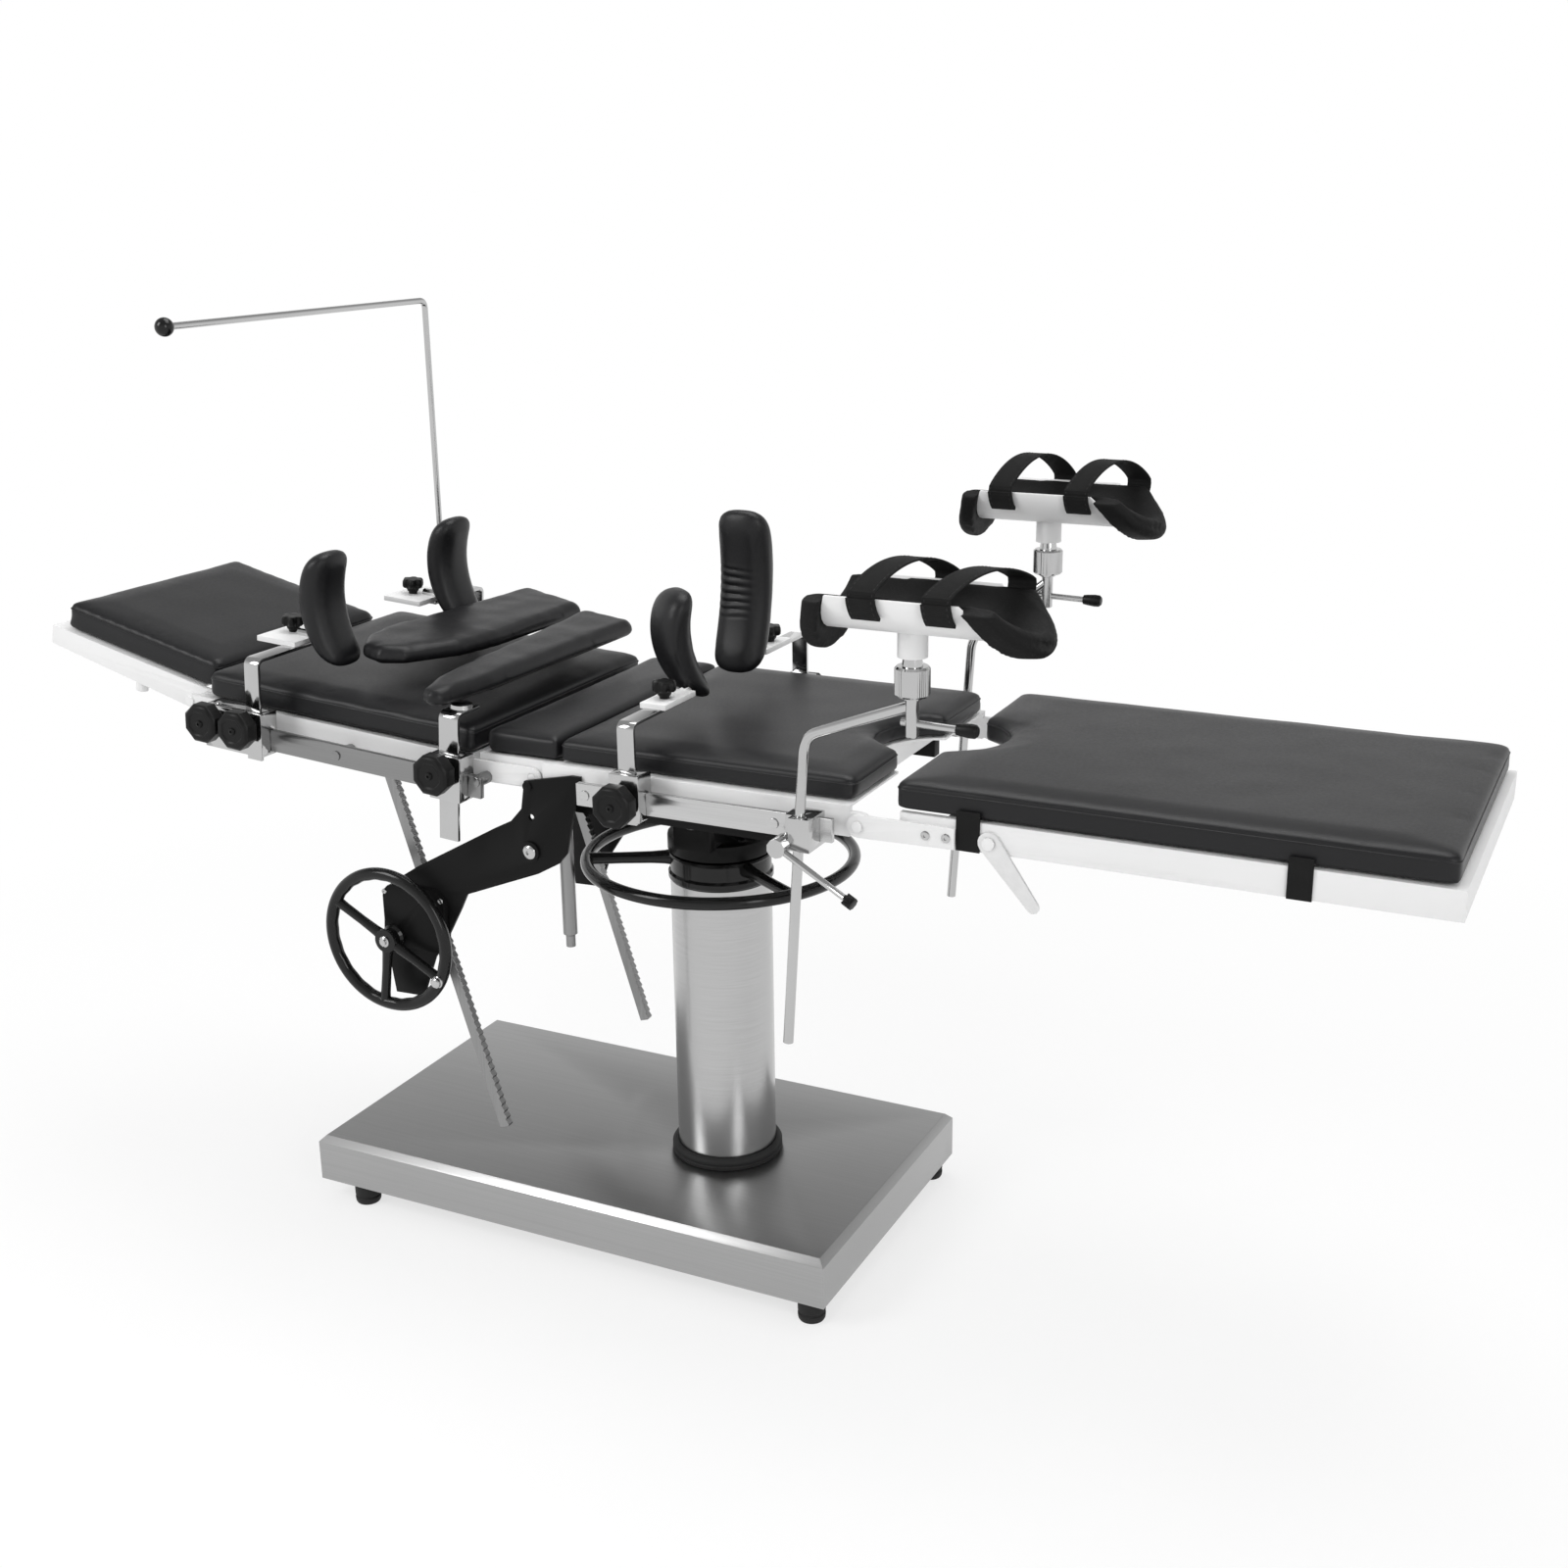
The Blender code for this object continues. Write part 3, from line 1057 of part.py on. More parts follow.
# Back section
def build_back(back):
    low, high = BACK_FRAME_BOTTOM, BACK_FRAME_TOP
    strip_inner = BACK_OUTER_Y - SEAT_STRIP
    pieces = []
    for side in (NEAR, FAR):
        strip = sorted((side * strip_inner, side * BACK_OUTER_Y))
        nose = arc(HEAD_HINGE_X, HEAD_HINGE_Z, high - HEAD_HINGE_Z, 90.0, 240.0, 6)
        outline = [(BACK_FOOT_X, low), (BACK_FOOT_X, high)] + nose + [(HEAD_HINGE_X + CROSS_BAR, low)]
        pieces.append(prism(outline, "Y", *strip))
        arm_outer = BACK_ARM_INNER_Y + BACK_ARM_THICKNESS
        arm = arc(BACK_HINGE_X, BACK_HINGE_Z, BACK_ARM_RADIUS, -90.0, 90.0, 8)
        arm_top = BACK_HINGE_Z + BACK_ARM_RADIUS
        arm += [(BACK_FOOT_X, high - BITE), (BACK_FOOT_X - BACK_ARM_LAP, high - BITE),
                (BACK_FOOT_X - BACK_ARM_LAP, low), (BACK_FOOT_X, low)]
        arm_plate = prism(arm, "Y", *sorted((side * BACK_ARM_INNER_Y, side * arm_outer)))
        lap = box((BACK_FOOT_X - BACK_ARM_LAP, BACK_FOOT_X - BITE),
                  sorted((side * (BACK_OUTER_Y - BITE), side * (BACK_ARM_INNER_Y + BITE))),
                  (low + BITE, high - BITE * 2))
        pieces += [arm_plate, lap]
    reach = strip_inner + BITE
    sheet_bottom = high - FRAME_SHEET
    for share in BACK_CROSS_SHARES:
        x = BACK_HEAD_X + share * (BACK_FOOT_X - BACK_HEAD_X)
        pieces.append(box((x, x + CROSS_BAR), (-reach, reach), (low, sheet_bottom + BITE)))
    pieces.append(box((BACK_SHEET_HEAD_X, BACK_FOOT_X), (-reach, reach), (sheet_bottom, high)))
    for side in (NEAR, FAR):
        outer = sorted((side * (RACK_Y + RACK_THICKNESS / 2 + RUNNING_GAP), side * (strip_inner + BITE)))
        lug = arc(RACK_PIVOT_X, RACK_PIVOT_Z, RACK_LUG_RADIUS, 180.0, 360.0, 8)
        lug += [(RACK_PIVOT_X + RACK_LUG_RADIUS, sheet_bottom + BITE / 2),
                (RACK_PIVOT_X - RACK_LUG_RADIUS, sheet_bottom + BITE / 2)]
        pieces.append(prism(lug, "Y", *outer))
        pin = sorted((side * (RACK_Y - RACK_THICKNESS / 2), side * (strip_inner + BITE)))
        pieces.append(cylinder("Y", RACK_PIVOT_X, RACK_PIVOT_Z, RACK_PIN_RADIUS, *pin, SMALL_SIDES))
    shaft = cylinder("Y", HEAD_HINGE_X, HEAD_HINGE_Z, HEAD_SHAFT_RADIUS, -reach, reach)
    bolts = [cylinder("Y", HEAD_HINGE_X, HEAD_HINGE_Z, BOLT_RADIUS,
                      *sorted((side * (BACK_OUTER_Y - BITE), side * (BACK_OUTER_Y + BOLT_HEIGHT))))
             for side in (NEAR, FAR)]
    frame = joined(pieces[0], *pieces[1:], shaft, *bolts)
    bore = cylinder("Y", BACK_HINGE_X, BACK_HINGE_Z, HINGE_PIN_RADIUS + RUNNING_GAP,
                    -BASE_WIDTH, BASE_WIDTH)
    finish(cut(frame, bore), "back_frame", "white_enamel", back)
    rail_z = BACK_RAIL_BOTTOM + RAIL_HEIGHT / 2
    spacers = ((BACK_RAIL_HEAD_X + SPACER_INSET, rail_z, BACK_OUTER_Y),
               ((BACK_RAIL_HEAD_X + BACK_RAIL_FOOT_X) / 2, rail_z, BACK_OUTER_Y),
               (BACK_RAIL_FOOT_X - SPACER_ARM_INSET, BACK_RAIL_ARM_BOLT_Z,
                BACK_ARM_INNER_Y + BACK_ARM_THICKNESS))
    for side, word in ((NEAR, "near"), (FAR, "far")):
        build_rail("back_rail_" + word, back, side, (BACK_RAIL_HEAD_X, BACK_RAIL_FOOT_X),
                   BACK_RAIL_BOTTOM, spacers)
    outline = rounded_box((BACK_CUSHION_HEAD_X, BACK_CUSHION_FOOT_X),
                          (-CUSHION_HALF_WIDTH, CUSHION_HALF_WIDTH), CUSHION_CORNER)
    finish(cushion(outline, high + GAP, BACK_CUSHION_TOP), "back_cushion", "black_leatherette", back)


def build_rack(name, rack, side):
    """A toothed bar hanging from its pin, its teeth towards the foot end."""
    front = RACK_PIVOT_X + RACK_WIDTH / 2
    rear = RACK_PIVOT_X - RACK_WIDTH / 2
    bottom = RACK_PIVOT_Z - RACK_LENGTH
    start = RACK_PIVOT_Z - RACK_PLAIN_LENGTH
    teeth = int((start - bottom) / RACK_TOOTH_PITCH)
    outline = arc(RACK_PIVOT_X, RACK_PIVOT_Z, RACK_WIDTH / 2, 0.0, 180.0, 6)
    outline += [(rear, bottom), (front - RACK_TOOTH_DEPTH, bottom)]
    for index in range(teeth):
        level = bottom + index * RACK_TOOTH_PITCH
        outline.append((front, level + RACK_TOOTH_DEPTH))
        outline.append((front - RACK_TOOTH_DEPTH, level + RACK_TOOTH_PITCH))
    outline.append((front, start + RACK_TOOTH_DEPTH))
    bar = prism(outline, "Y", RACK_Y - RACK_THICKNESS / 2, RACK_Y + RACK_THICKNESS / 2)
    bore = cylinder("Y", RACK_PIVOT_X, RACK_PIVOT_Z, RACK_PIN_RADIUS + RUNNING_GAP, 0.0, BASE_WIDTH)
    finish(cut(bar, bore), name, "satin_steel", rack, side)


# Head and leg sections
def build_head(head):
    low = HEAD_FRAME_TOP - HEAD_STRIP_HEIGHT
    end_x = HEAD_HINGE_X - HEAD_LENGTH
    inner = HEAD_OUTER_Y - HEAD_STRIP
    pieces = []
    for side in (NEAR, FAR):
        faces = sorted((side * inner, side * HEAD_OUTER_Y))
        nose = arc(HEAD_HINGE_X, HEAD_HINGE_Z, HEAD_FRAME_TOP - HEAD_HINGE_Z, -90.0, 90.0, 8)
        root_low = HEAD_FRAME_TOP - HEAD_STRIP_ROOT_HEIGHT
        outline = [(end_x, low), (HEAD_HINGE_X - CROSS_BAR, root_low)] + nose + [(end_x, HEAD_FRAME_TOP)]
        pieces.append(prism(outline, "Y", *faces))
    reach = inner + BITE
    sheet_bottom = HEAD_FRAME_TOP - FRAME_SHEET
    pieces.append(box((end_x, end_x + HEAD_STRIP), (-reach, reach), (low, HEAD_FRAME_TOP)))
    pieces.append(box((HEAD_CROSS_X, HEAD_CROSS_X + CROSS_BAR), (-reach, reach),
                      (low + BITE, sheet_bottom + BITE)))
    pieces.append(box((end_x + BITE, HEAD_HINGE_X - CROSS_BAR), (-reach, reach),
                      (sheet_bottom, HEAD_FRAME_TOP)))
    knob = cylinder("Z", HEAD_KNOB_X, -(inner + HEAD_OUTER_Y) / 2 + HEAD_STRIP, HEAD_KNOB_RADIUS,
                    low - HEAD_KNOB_LENGTH, sheet_bottom + BITE, SMALL_SIDES)
    pieces.append(knob)
    bore = cylinder("Y", HEAD_HINGE_X, HEAD_HINGE_Z, HEAD_SHAFT_RADIUS + RUNNING_GAP,
                    -BASE_WIDTH, BASE_WIDTH)
    frame = joined(pieces[0], *pieces[1:])
    finish(cut(frame, bore), "head_frame", "white_enamel", head)
    outline = rounded_box((HEAD_CUSHION_HEAD_X, HEAD_CUSHION_FOOT_X),
                          (-HEAD_CUSHION_HALF_WIDTH, HEAD_CUSHION_HALF_WIDTH), CUSHION_CORNER)
    padding = cushion(outline, HEAD_FRAME_TOP + GAP, HEAD_CUSHION_TOP)
    finish(padding, "head_cushion", "black_leatherette", head)


def build_leg(leg, lever):
    low, high = LEG_FRAME_BOTTOM, LEG_FRAME_TOP
    strip_inner = LEG_OUTER_Y - LEG_STRIP
    arm_outer = LEG_ARM_INNER_Y + LEG_ARM_THICKNESS
    reach = strip_inner + BITE
    sheet_bottom = high - FRAME_SHEET
    pieces = []
    for side in (NEAR, FAR):
        strip = sorted((side * strip_inner, side * LEG_OUTER_Y))
        pieces.append(box((LEG_HEAD_X, LEG_FOOT_X), strip, (low, high)))
        arm = arc(LEG_HINGE_X, LEG_HINGE_Z, LEG_ARM_RADIUS, 90.0, 270.0, 8)
        arm += [(LEG_ARM_FOOT_X, LEG_ARM_BOTTOM), (LEG_ARM_FOOT_X, LEG_ARM_TOP)]
        pieces.append(prism(arm, "Y", *sorted((side * LEG_ARM_INNER_Y, side * arm_outer))))
        lap_y = sorted((side * (LEG_OUTER_Y - BITE), side * (LEG_ARM_INNER_Y + BITE)))
        pieces.append(box((LEG_ARM_LAP_X, LEG_ARM_FOOT_X - BITE), lap_y,
                          (LEG_ARM_BOTTOM + BITE, LEG_ARM_TOP - BITE)))
    pieces.append(box((LEG_FOOT_X - LEG_STRIP, LEG_FOOT_X), (-reach, reach), (low, high)))
    for x in (LEG_SHEET_HEAD_X, (LEG_SHEET_HEAD_X + LEG_FOOT_X) / 2):
        pieces.append(box((x, x + CROSS_BAR), (-reach, reach), (low + BITE, sheet_bottom + BITE)))
    pieces.append(box((LEG_SHEET_HEAD_X, LEG_FOOT_X - BITE), (-reach, reach), (sheet_bottom, high)))
    stud_end = LEG_OUTER_Y + GAP + LEG_LEVER_THICKNESS + GAP
    stub = cylinder("Y", LEG_LEVER_X, LEG_LEVER_Z, LEG_LEVER_STUD, -(stud_end + BITE),
                    -(LEG_OUTER_Y - BITE), SMALL_SIDES)
    cap = cylinder("Y", LEG_LEVER_X, LEG_LEVER_Z, BOLT_RADIUS + BITE / 2, -(stud_end + BOLT_HEIGHT),
                   -stud_end, SMALL_SIDES)
    bore = cylinder("Y", LEG_HINGE_X, LEG_HINGE_Z, HINGE_PIN_RADIUS + RUNNING_GAP, -BASE_WIDTH, BASE_WIDTH)
    frame = cut(joined(pieces[0], *pieces[1:]), bore)
    finish(joined(frame, stub, cap), "leg_frame", "white_enamel", leg)
    finish(cushion(leg_outline(), high + GAP, LEG_CUSHION_TOP), "leg_cushion", "black_leatherette", leg)

    faces = (LEG_OUTER_Y + GAP, LEG_OUTER_Y + GAP + LEG_LEVER_THICKNESS)
    outline = arc(LEG_LEVER_X, LEG_LEVER_Z, LEG_LEVER_RADIUS, 90.0, 270.0, 8)
    outline += arc(LEG_LEVER_X + LEG_LEVER_LENGTH, LEG_LEVER_Z, LEG_LEVER_TIP_RADIUS, -90.0, 90.0, 6)
    bore = cylinder("Y", LEG_LEVER_X, LEG_LEVER_Z, LEG_LEVER_STUD + RUNNING_GAP, 0.0, BASE_WIDTH,
                    SMALL_SIDES)
    finish(cut(prism(outline, "Y", *faces), bore), "leg_lever", "brushed_steel", lever, NEAR)


# Rail clamps, posts and knobs
def octagon_knob(x, z):
    """A knob with eight flats on a short stem, pointing out along Y."""
    high = KNOB_INNER_Y + KNOB_LENGTH
    rim = KNOB_RADIUS - KNOB_CHAMFER
    profile = ((rim, KNOB_INNER_Y), (KNOB_RADIUS, KNOB_INNER_Y + KNOB_CHAMFER),
               (KNOB_RADIUS, high - KNOB_CHAMFER), (rim, high))
    head = turned("Y", x, z, profile, KNOB_FLATS)
    stem = cylinder("Y", x, z, KNOB_STEM_RADIUS, CLAMP_OUTER_Y - BITE, KNOB_INNER_Y + BITE, SMALL_SIDES)
    return head, stem


def clamp_block(x_range, rail_bottom):
    """The body of a clamp round a rail: lips behind the rail and a wall outside it."""
    rail_top = rail_bottom + RAIL_HEIGHT
    rail_outer = RAIL_INNER_Y + RAIL_THICKNESS
    low = rail_bottom - CLAMP_DROP
    high = rail_top + CLAMP_RISE
    body = box(x_range, (CLAMP_LIP_Y, CLAMP_OUTER_Y), (low, high))
    past = (x_range[0] - OVERRUN, x_range[1] + OVERRUN)
    channel = box(past, (RAIL_INNER_Y - GAP, rail_outer + GAP), (rail_bottom - GAP, rail_top + GAP))
    mouth = box(past, (CLAMP_LIP_Y - OVERRUN, rail_outer),
                (rail_bottom + CLAMP_LIP_RISE, rail_top - CLAMP_LIP_RISE))
    return body, (channel, mouth)


def post_slot(x, width, thickness_from, thickness_to, rail_bottom):
    half = width / 2 + GAP
    return box((x - half, x + half), (thickness_from - GAP, thickness_to + GAP),
               (rail_bottom - CLAMP_DROP - OVERRUN, rail_bottom + RAIL_HEIGHT + CLAMP_RISE + OVERRUN))


def build_clamp(name, parent, side, x, post_width, rail_bottom, knob_rise, second=False):
    """A clamp with its knob; the shoulder clamps have a second socket with a knob of its own."""
    half = post_width / 2 + CLAMP_WALL_X
    low_x = SHOULDER_SECOND_X - SHOULDER_SECOND_WIDTH - CLAMP_WALL_X if second else x - half
    body, cuts = clamp_block((low_x, x + half), rail_bottom)
    knob_z = rail_bottom + RAIL_HEIGHT / 2 + knob_rise
    knobs = list(octagon_knob(x, knob_z))
    cuts = list(cuts)
    cuts.append(post_slot(x, post_width, POST_INNER_Y, POST_INNER_Y + POST_THICKNESS, rail_bottom))
    if second:
        knobs += list(octagon_knob(SHOULDER_SECOND_X, knob_z))
        foot = Vector((SHOULDER_SECOND_X, SCREEN_Y, BACK_RAIL_BOTTOM))
        turn = math.radians(BACK_RAISE)
        upright = Vector((-math.sin(turn), 0.0, math.cos(turn)))
        reach = upright * CLAMP_OUTER_Y
        cuts.append(rod(foot - reach, foot + reach, SCREEN_RADIUS + GAP))
    piece = joined(cut(body, *cuts), *knobs)
    finish(piece, name, "chrome", parent, side)


def bent_post(x, width, bottom, top, reach_y):
    """A flat bar: straight up beside the table, bent over it and in to reach_y."""
    outer = POST_INNER_Y + POST_THICKNESS
    centre_y = POST_INNER_Y - POST_BEND + POST_THICKNESS
    centre_z = top - POST_BEND
    outside = arc(centre_y, centre_z, POST_BEND, 0.0, 90.0, 5)
    inside = arc(centre_y, centre_z, POST_BEND - POST_THICKNESS, 90.0, 0.0, 5)
    outline = [(outer, bottom)] + outside + [(reach_y, top), (reach_y, top - POST_THICKNESS)]
    outline += inside + [(POST_INNER_Y, bottom)]
    return prism(outline, "X", x - width / 2, x + width / 2)


def star_knob(x, y, bottom):
    outline = []
    for index in range(STAR_POINTS * 2):
        turn = math.tau * index / (STAR_POINTS * 2)
        radius = STAR_WAIST if index % 2 else STAR_RADIUS
        outline.append((x + radius * math.cos(turn), y + radius * math.sin(turn)))
    head_bottom = bottom + STAR_STEM_HEIGHT
    head = prism(outline, "Z", head_bottom, head_bottom + STAR_HEIGHT)
    stem = cylinder("Z", x, y, STAR_STEM_RADIUS, bottom - BITE, head_bottom + BITE, SMALL_SIDES)
    return head, stem


def squared(value):
    """Push a sine or cosine outwards, so that a circle becomes a rounded square."""
    return math.copysign(abs(value) ** PAD_SQUARENESS_POWER, value)


def pad_shift(height, bottom, top, bow, lean):
    """How far a pad's middle stands from its upright line at a height."""
    share = (2 * height - bottom - top) / (top - bottom)
    return bow * share * share - lean * share


def curved_pad(bottom, top, bow, lean, wrinkles=0):
    """An upright pad about the origin's Z line; its ends curve to +X, the lower one further."""
    middle = (bottom + top) / 2
    half_height = (top - bottom) / 2
    rings = []
    for station in range(PAD_STATIONS):
        turn = math.pi * station / (PAD_STATIONS - 1)
        share = -math.cos(turn)
        height = middle + half_height * share
        fullness = PAD_END_SHARE
        if 0 < station < PAD_STATIONS - 1:
            fullness = math.sqrt(1.0 - abs(share) ** PAD_FULLNESS_POWER)
        centre_x = pad_shift(height, bottom, top, bow, lean)
        ring = []
        for index in range(PAD_SIDES):
            roll = math.tau * index / PAD_SIDES
            reach_x = squared(math.cos(roll)) * PAD_THICKNESS / 2
            reach_y = squared(math.sin(roll)) * PAD_WIDTH / 2
            ring.append((centre_x + reach_x * fullness, reach_y * math.sqrt(fullness), height))
        rings.append(ring)
    if wrinkles:
        rings = wrinkled(rings, middle, half_height, wrinkles)
    return ringed(rings)


def wrinkled(rings, middle, half_height, count):
    """Add rings at mid height whose hollow side steps in and out."""
    span = half_height * PAD_WRINKLE_SHARE
    plain_low = [ring for ring in rings if ring[0][2] < middle - span]
    plain_high = [ring for ring in rings if ring[0][2] > middle + span]
    low, high = plain_low[-1], plain_high[0]
    waves = []
    for index in range(count * 2 + 1):
        share = (index + 1) / (count * 2 + 2)
        level = low[0][2] + (high[0][2] - low[0][2]) * share
        nearest = min(rings, key=lambda ring: abs(ring[0][2] - level))
        depth = HIP_WRINKLE if index % 2 else 0.0
        centre = (max(point[0] for point in nearest) + min(point[0] for point in nearest)) / 2
        waves.append([(x - depth if x > centre else x, y, level) for x, y, _ in nearest])
    return plain_low + waves + plain_high


def turn_piece(piece, degrees, x, y):
    """Turn a piece about the origin's Z line, then move it."""
    piece.data.transform(Matrix.Translation((x, y, 0.0)) @ Matrix.Rotation(math.radians(degrees), 4, "Z"))


def build_shoulder_support(back, post, side, word):
    build_clamp("shoulder_clamp_" + word, back, side, SHOULDER_X, SHOULDER_POST_WIDTH, BACK_RAIL_BOTTOM,
                BACK_KNOB_RISE, second=True)
    bar = bent_post(SHOULDER_X, SHOULDER_POST_WIDTH, SHOULDER_POST_BOTTOM, SHOULDER_POST_TOP,
                    SHOULDER_REACH_Y)
    plate_bottom = SHOULDER_POST_TOP - BITE / 2
    plate_top = plate_bottom + SHOULDER_PLATE_THICKNESS
    plate_foot_x = SHOULDER_PAD_X
    plate_head_x = plate_foot_x - SHOULDER_PLATE_LENGTH
    plate = box((plate_head_x, plate_foot_x), (SHOULDER_PLATE_INNER_Y, SHOULDER_PLATE_OUTER_Y),
                (plate_bottom, plate_top))
    knob = star_knob(SHOULDER_KNOB_X, SHOULDER_KNOB_Y, plate_top)
    stem_z = (plate_bottom + plate_top) / 2 + PAD_STEM_RADIUS
    pad_x = SHOULDER_PAD_X + PAD_THICKNESS / 2
    stem_end = pad_x + pad_shift(stem_z, SHOULDER_PAD_BOTTOM, SHOULDER_PAD_TOP, SHOULDER_PAD_BOW,
                                 SHOULDER_PAD_LEAN)
    stem = cylinder("X", SHOULDER_PAD_Y, stem_z, PAD_STEM_RADIUS, plate_head_x + PAD_THICKNESS, stem_end,
                    SMALL_SIDES)
    holder = joined(bar, plate, stem, *knob)
    pad = curved_pad(SHOULDER_PAD_BOTTOM, SHOULDER_PAD_TOP, SHOULDER_PAD_BOW, SHOULDER_PAD_LEAN)
    turn_piece(pad, 0.0, pad_x, SHOULDER_PAD_Y)
    pad = cut(pad, cylinder("X", SHOULDER_PAD_Y, stem_z, PAD_STEM_RADIUS + GAP, plate_head_x,
                            stem_end + GAP, SMALL_SIDES),
              box((plate_head_x, plate_foot_x + GAP), (0.0, CUSHION_HALF_WIDTH),
                  (SHOULDER_POST_TOP - POST_THICKNESS - GAP, plate_top + GAP)))
    finish(holder, "shoulder_post_" + word, "chrome", post, side)
    finish(pad, "shoulder_pad_" + word, "black_leatherette", post, side)


def build_hip_support(seat, post, side, word):
    x = HIP_NEAR_X if side == NEAR else HIP_FAR_X
    build_clamp("hip_clamp_" + word, seat, side, x, HIP_POST_WIDTH, SEAT_RAIL_BOTTOM, SEAT_KNOB_RISE)
    bar = bent_post(x, HIP_POST_WIDTH, HIP_POST_BOTTOM, HIP_POST_TOP, HIP_REACH_Y)
    plate_bottom = HIP_POST_TOP - BITE / 2
    plate_top = plate_bottom + HIP_PLATE_THICKNESS
    half = HIP_PLATE_LENGTH / 2
    plate = box((x - half, x + half), (HIP_PLATE_INNER_Y, HIP_PLATE_OUTER_Y),
                (plate_bottom, plate_top))
    knob = star_knob(x, HIP_KNOB_Y, plate_top)
    pad_top = HIP_NEAR_PAD_TOP if side == NEAR else HIP_FAR_PAD_TOP
    pad_bottom = HIP_NEAR_PAD_BOTTOM if side == NEAR else HIP_FAR_PAD_BOTTOM
    shift = HIP_NEAR_PAD_SHIFT_X if side == NEAR else 0.0
    wrinkles = HIP_WRINKLE_COUNT if side == FAR else 0
    turn = HIP_NEAR_TURN if side == NEAR else 0.0
    pad = curved_pad(pad_bottom, pad_top, HIP_PAD_BOW, HIP_PAD_LEAN, wrinkles)
    turn_piece(pad, -90.0 - turn, x + shift, HIP_PAD_Y)
    stem_z = (plate_bottom + plate_top) / 2
    reach = pad_shift(stem_z, pad_bottom, pad_top, HIP_PAD_BOW, HIP_PAD_LEAN) * math.cos(math.radians(turn))
    stem_end = HIP_PAD_Y - reach
    stem = cylinder("Y", x, stem_z, PAD_STEM_RADIUS, stem_end, HIP_PLATE_INNER_Y + BITE, SMALL_SIDES)
    socket = cylinder("Y", x, stem_z, PAD_STEM_RADIUS + GAP, stem_end - GAP, HIP_PLATE_OUTER_Y,
                      SMALL_SIDES)
    room = box((x - half - GAP, x + half + GAP), (HIP_PLATE_INNER_Y - GAP, HIP_PLATE_OUTER_Y),
               (plate_bottom - POST_THICKNESS - GAP, plate_top + GAP))
    pad = cut(pad, socket, room)
    finish(joined(bar, plate, stem, *knob), "hip_post_" + word, "chrome", post, side)
    finish(pad, "hip_pad_" + word, "black_leatherette", post, side)


def build_armboard(back, post, board, side, word):
    x = ARM_NEAR_X if side == NEAR else ARM_FAR_X
    build_clamp("arm_clamp_" + word, back, side, x, ARM_POST_WIDTH, BACK_RAIL_BOTTOM, BACK_KNOB_RISE)
    bar = bent_post(x, ARM_POST_WIDTH, ARM_POST_BOTTOM, ARM_POST_TOP, ARM_POST_REACH_Y)
    swivel_top = ARM_POST_TOP + ARM_SWIVEL_HEIGHT
    swivel = cylinder("Z", x, ARM_SWIVEL_Y, ARM_SWIVEL_RADIUS, ARM_POST_TOP - BITE, swivel_top)
    finish(joined(bar, swivel), "arm_post_" + word, "chrome", post, side)

    if side == NEAR:
        corners = spread(NEAR_BOARD_SHARES, (NEAR_BOARD_HEAD_X, NEAR_BOARD_FOOT_X),
                         (NEAR_BOARD_LOW_Y, NEAR_BOARD_HIGH_Y))
    else:
        corners = spread(FAR_BOARD_SHARES, (FAR_BOARD_HEAD_X, FAR_BOARD_FOOT_X),
                         (FAR_BOARD_LOW_Y, FAR_BOARD_HIGH_Y))
    low = swivel_top + GAP
    high = low + BOARD_THICKNESS
    levels = ((BOARD_EDGE, low), (0.0, low + BOARD_EDGE), (0.0, high - BOARD_EDGE), (BOARD_EDGE, high))
    rings = [[(px, py, level) for px, py in inset(corners, margin)] for margin, level in levels]
    finish(ringed(rings), "armboard_" + word, "black_leatherette", board)


def build_screen(screen):
    x = SHOULDER_SECOND_X
    corner = arc(SCREEN_Y - SCREEN_BEND, SCREEN_TOP - SCREEN_BEND, SCREEN_BEND, 0.0, 90.0, 4)
    end_y = SCREEN_Y - SCREEN_ARM_LENGTH
    points = [(x, SCREEN_Y, SCREEN_BOTTOM)] + [(x, y, z) for y, z in corner] + [(x, end_y, SCREEN_TOP)]
    bar = tube_along(points, SCREEN_RADIUS)
    rings = []
    for step in range(1, SCREEN_BALL_RINGS):
        turn = math.pi * step / SCREEN_BALL_RINGS
        reach = SCREEN_BALL_RADIUS * math.sin(turn)
        along = end_y - SCREEN_BALL_RADIUS / 2 + SCREEN_BALL_RADIUS * math.cos(turn)
        rings.append([(x + one, along, SCREEN_TOP + two)
                      for one, two in circle(0.0, 0.0, reach, ROUND_SIDES)])
    finish(joined(bar, ringed(rings)), "screen_rod", "chrome", screen)


# Stirrups
def stirrup_stem(side):
    """Where the rod's sloping arm meets the stem of the fork."""
    reach = STIRRUP_NEAR_REACH_X if side == NEAR else STIRRUP_FAR_REACH_X
    rise = STIRRUP_NEAR_RISE if side == NEAR else STIRRUP_FAR_RISE
    return stirrup_point(STIRRUP_BEND_Z) + Vector((reach, STIRRUP_REACH_Y, rise))


def stirrup_point(height):
    """A point of the rod's centre line, which leans towards the foot end."""
    run = (height - SEAT_RAIL_BOTTOM - RAIL_HEIGHT / 2) * math.tan(math.radians(STIRRUP_LEAN))
    return Vector((STIRRUP_CLAMP_X + run, STIRRUP_Y, height))


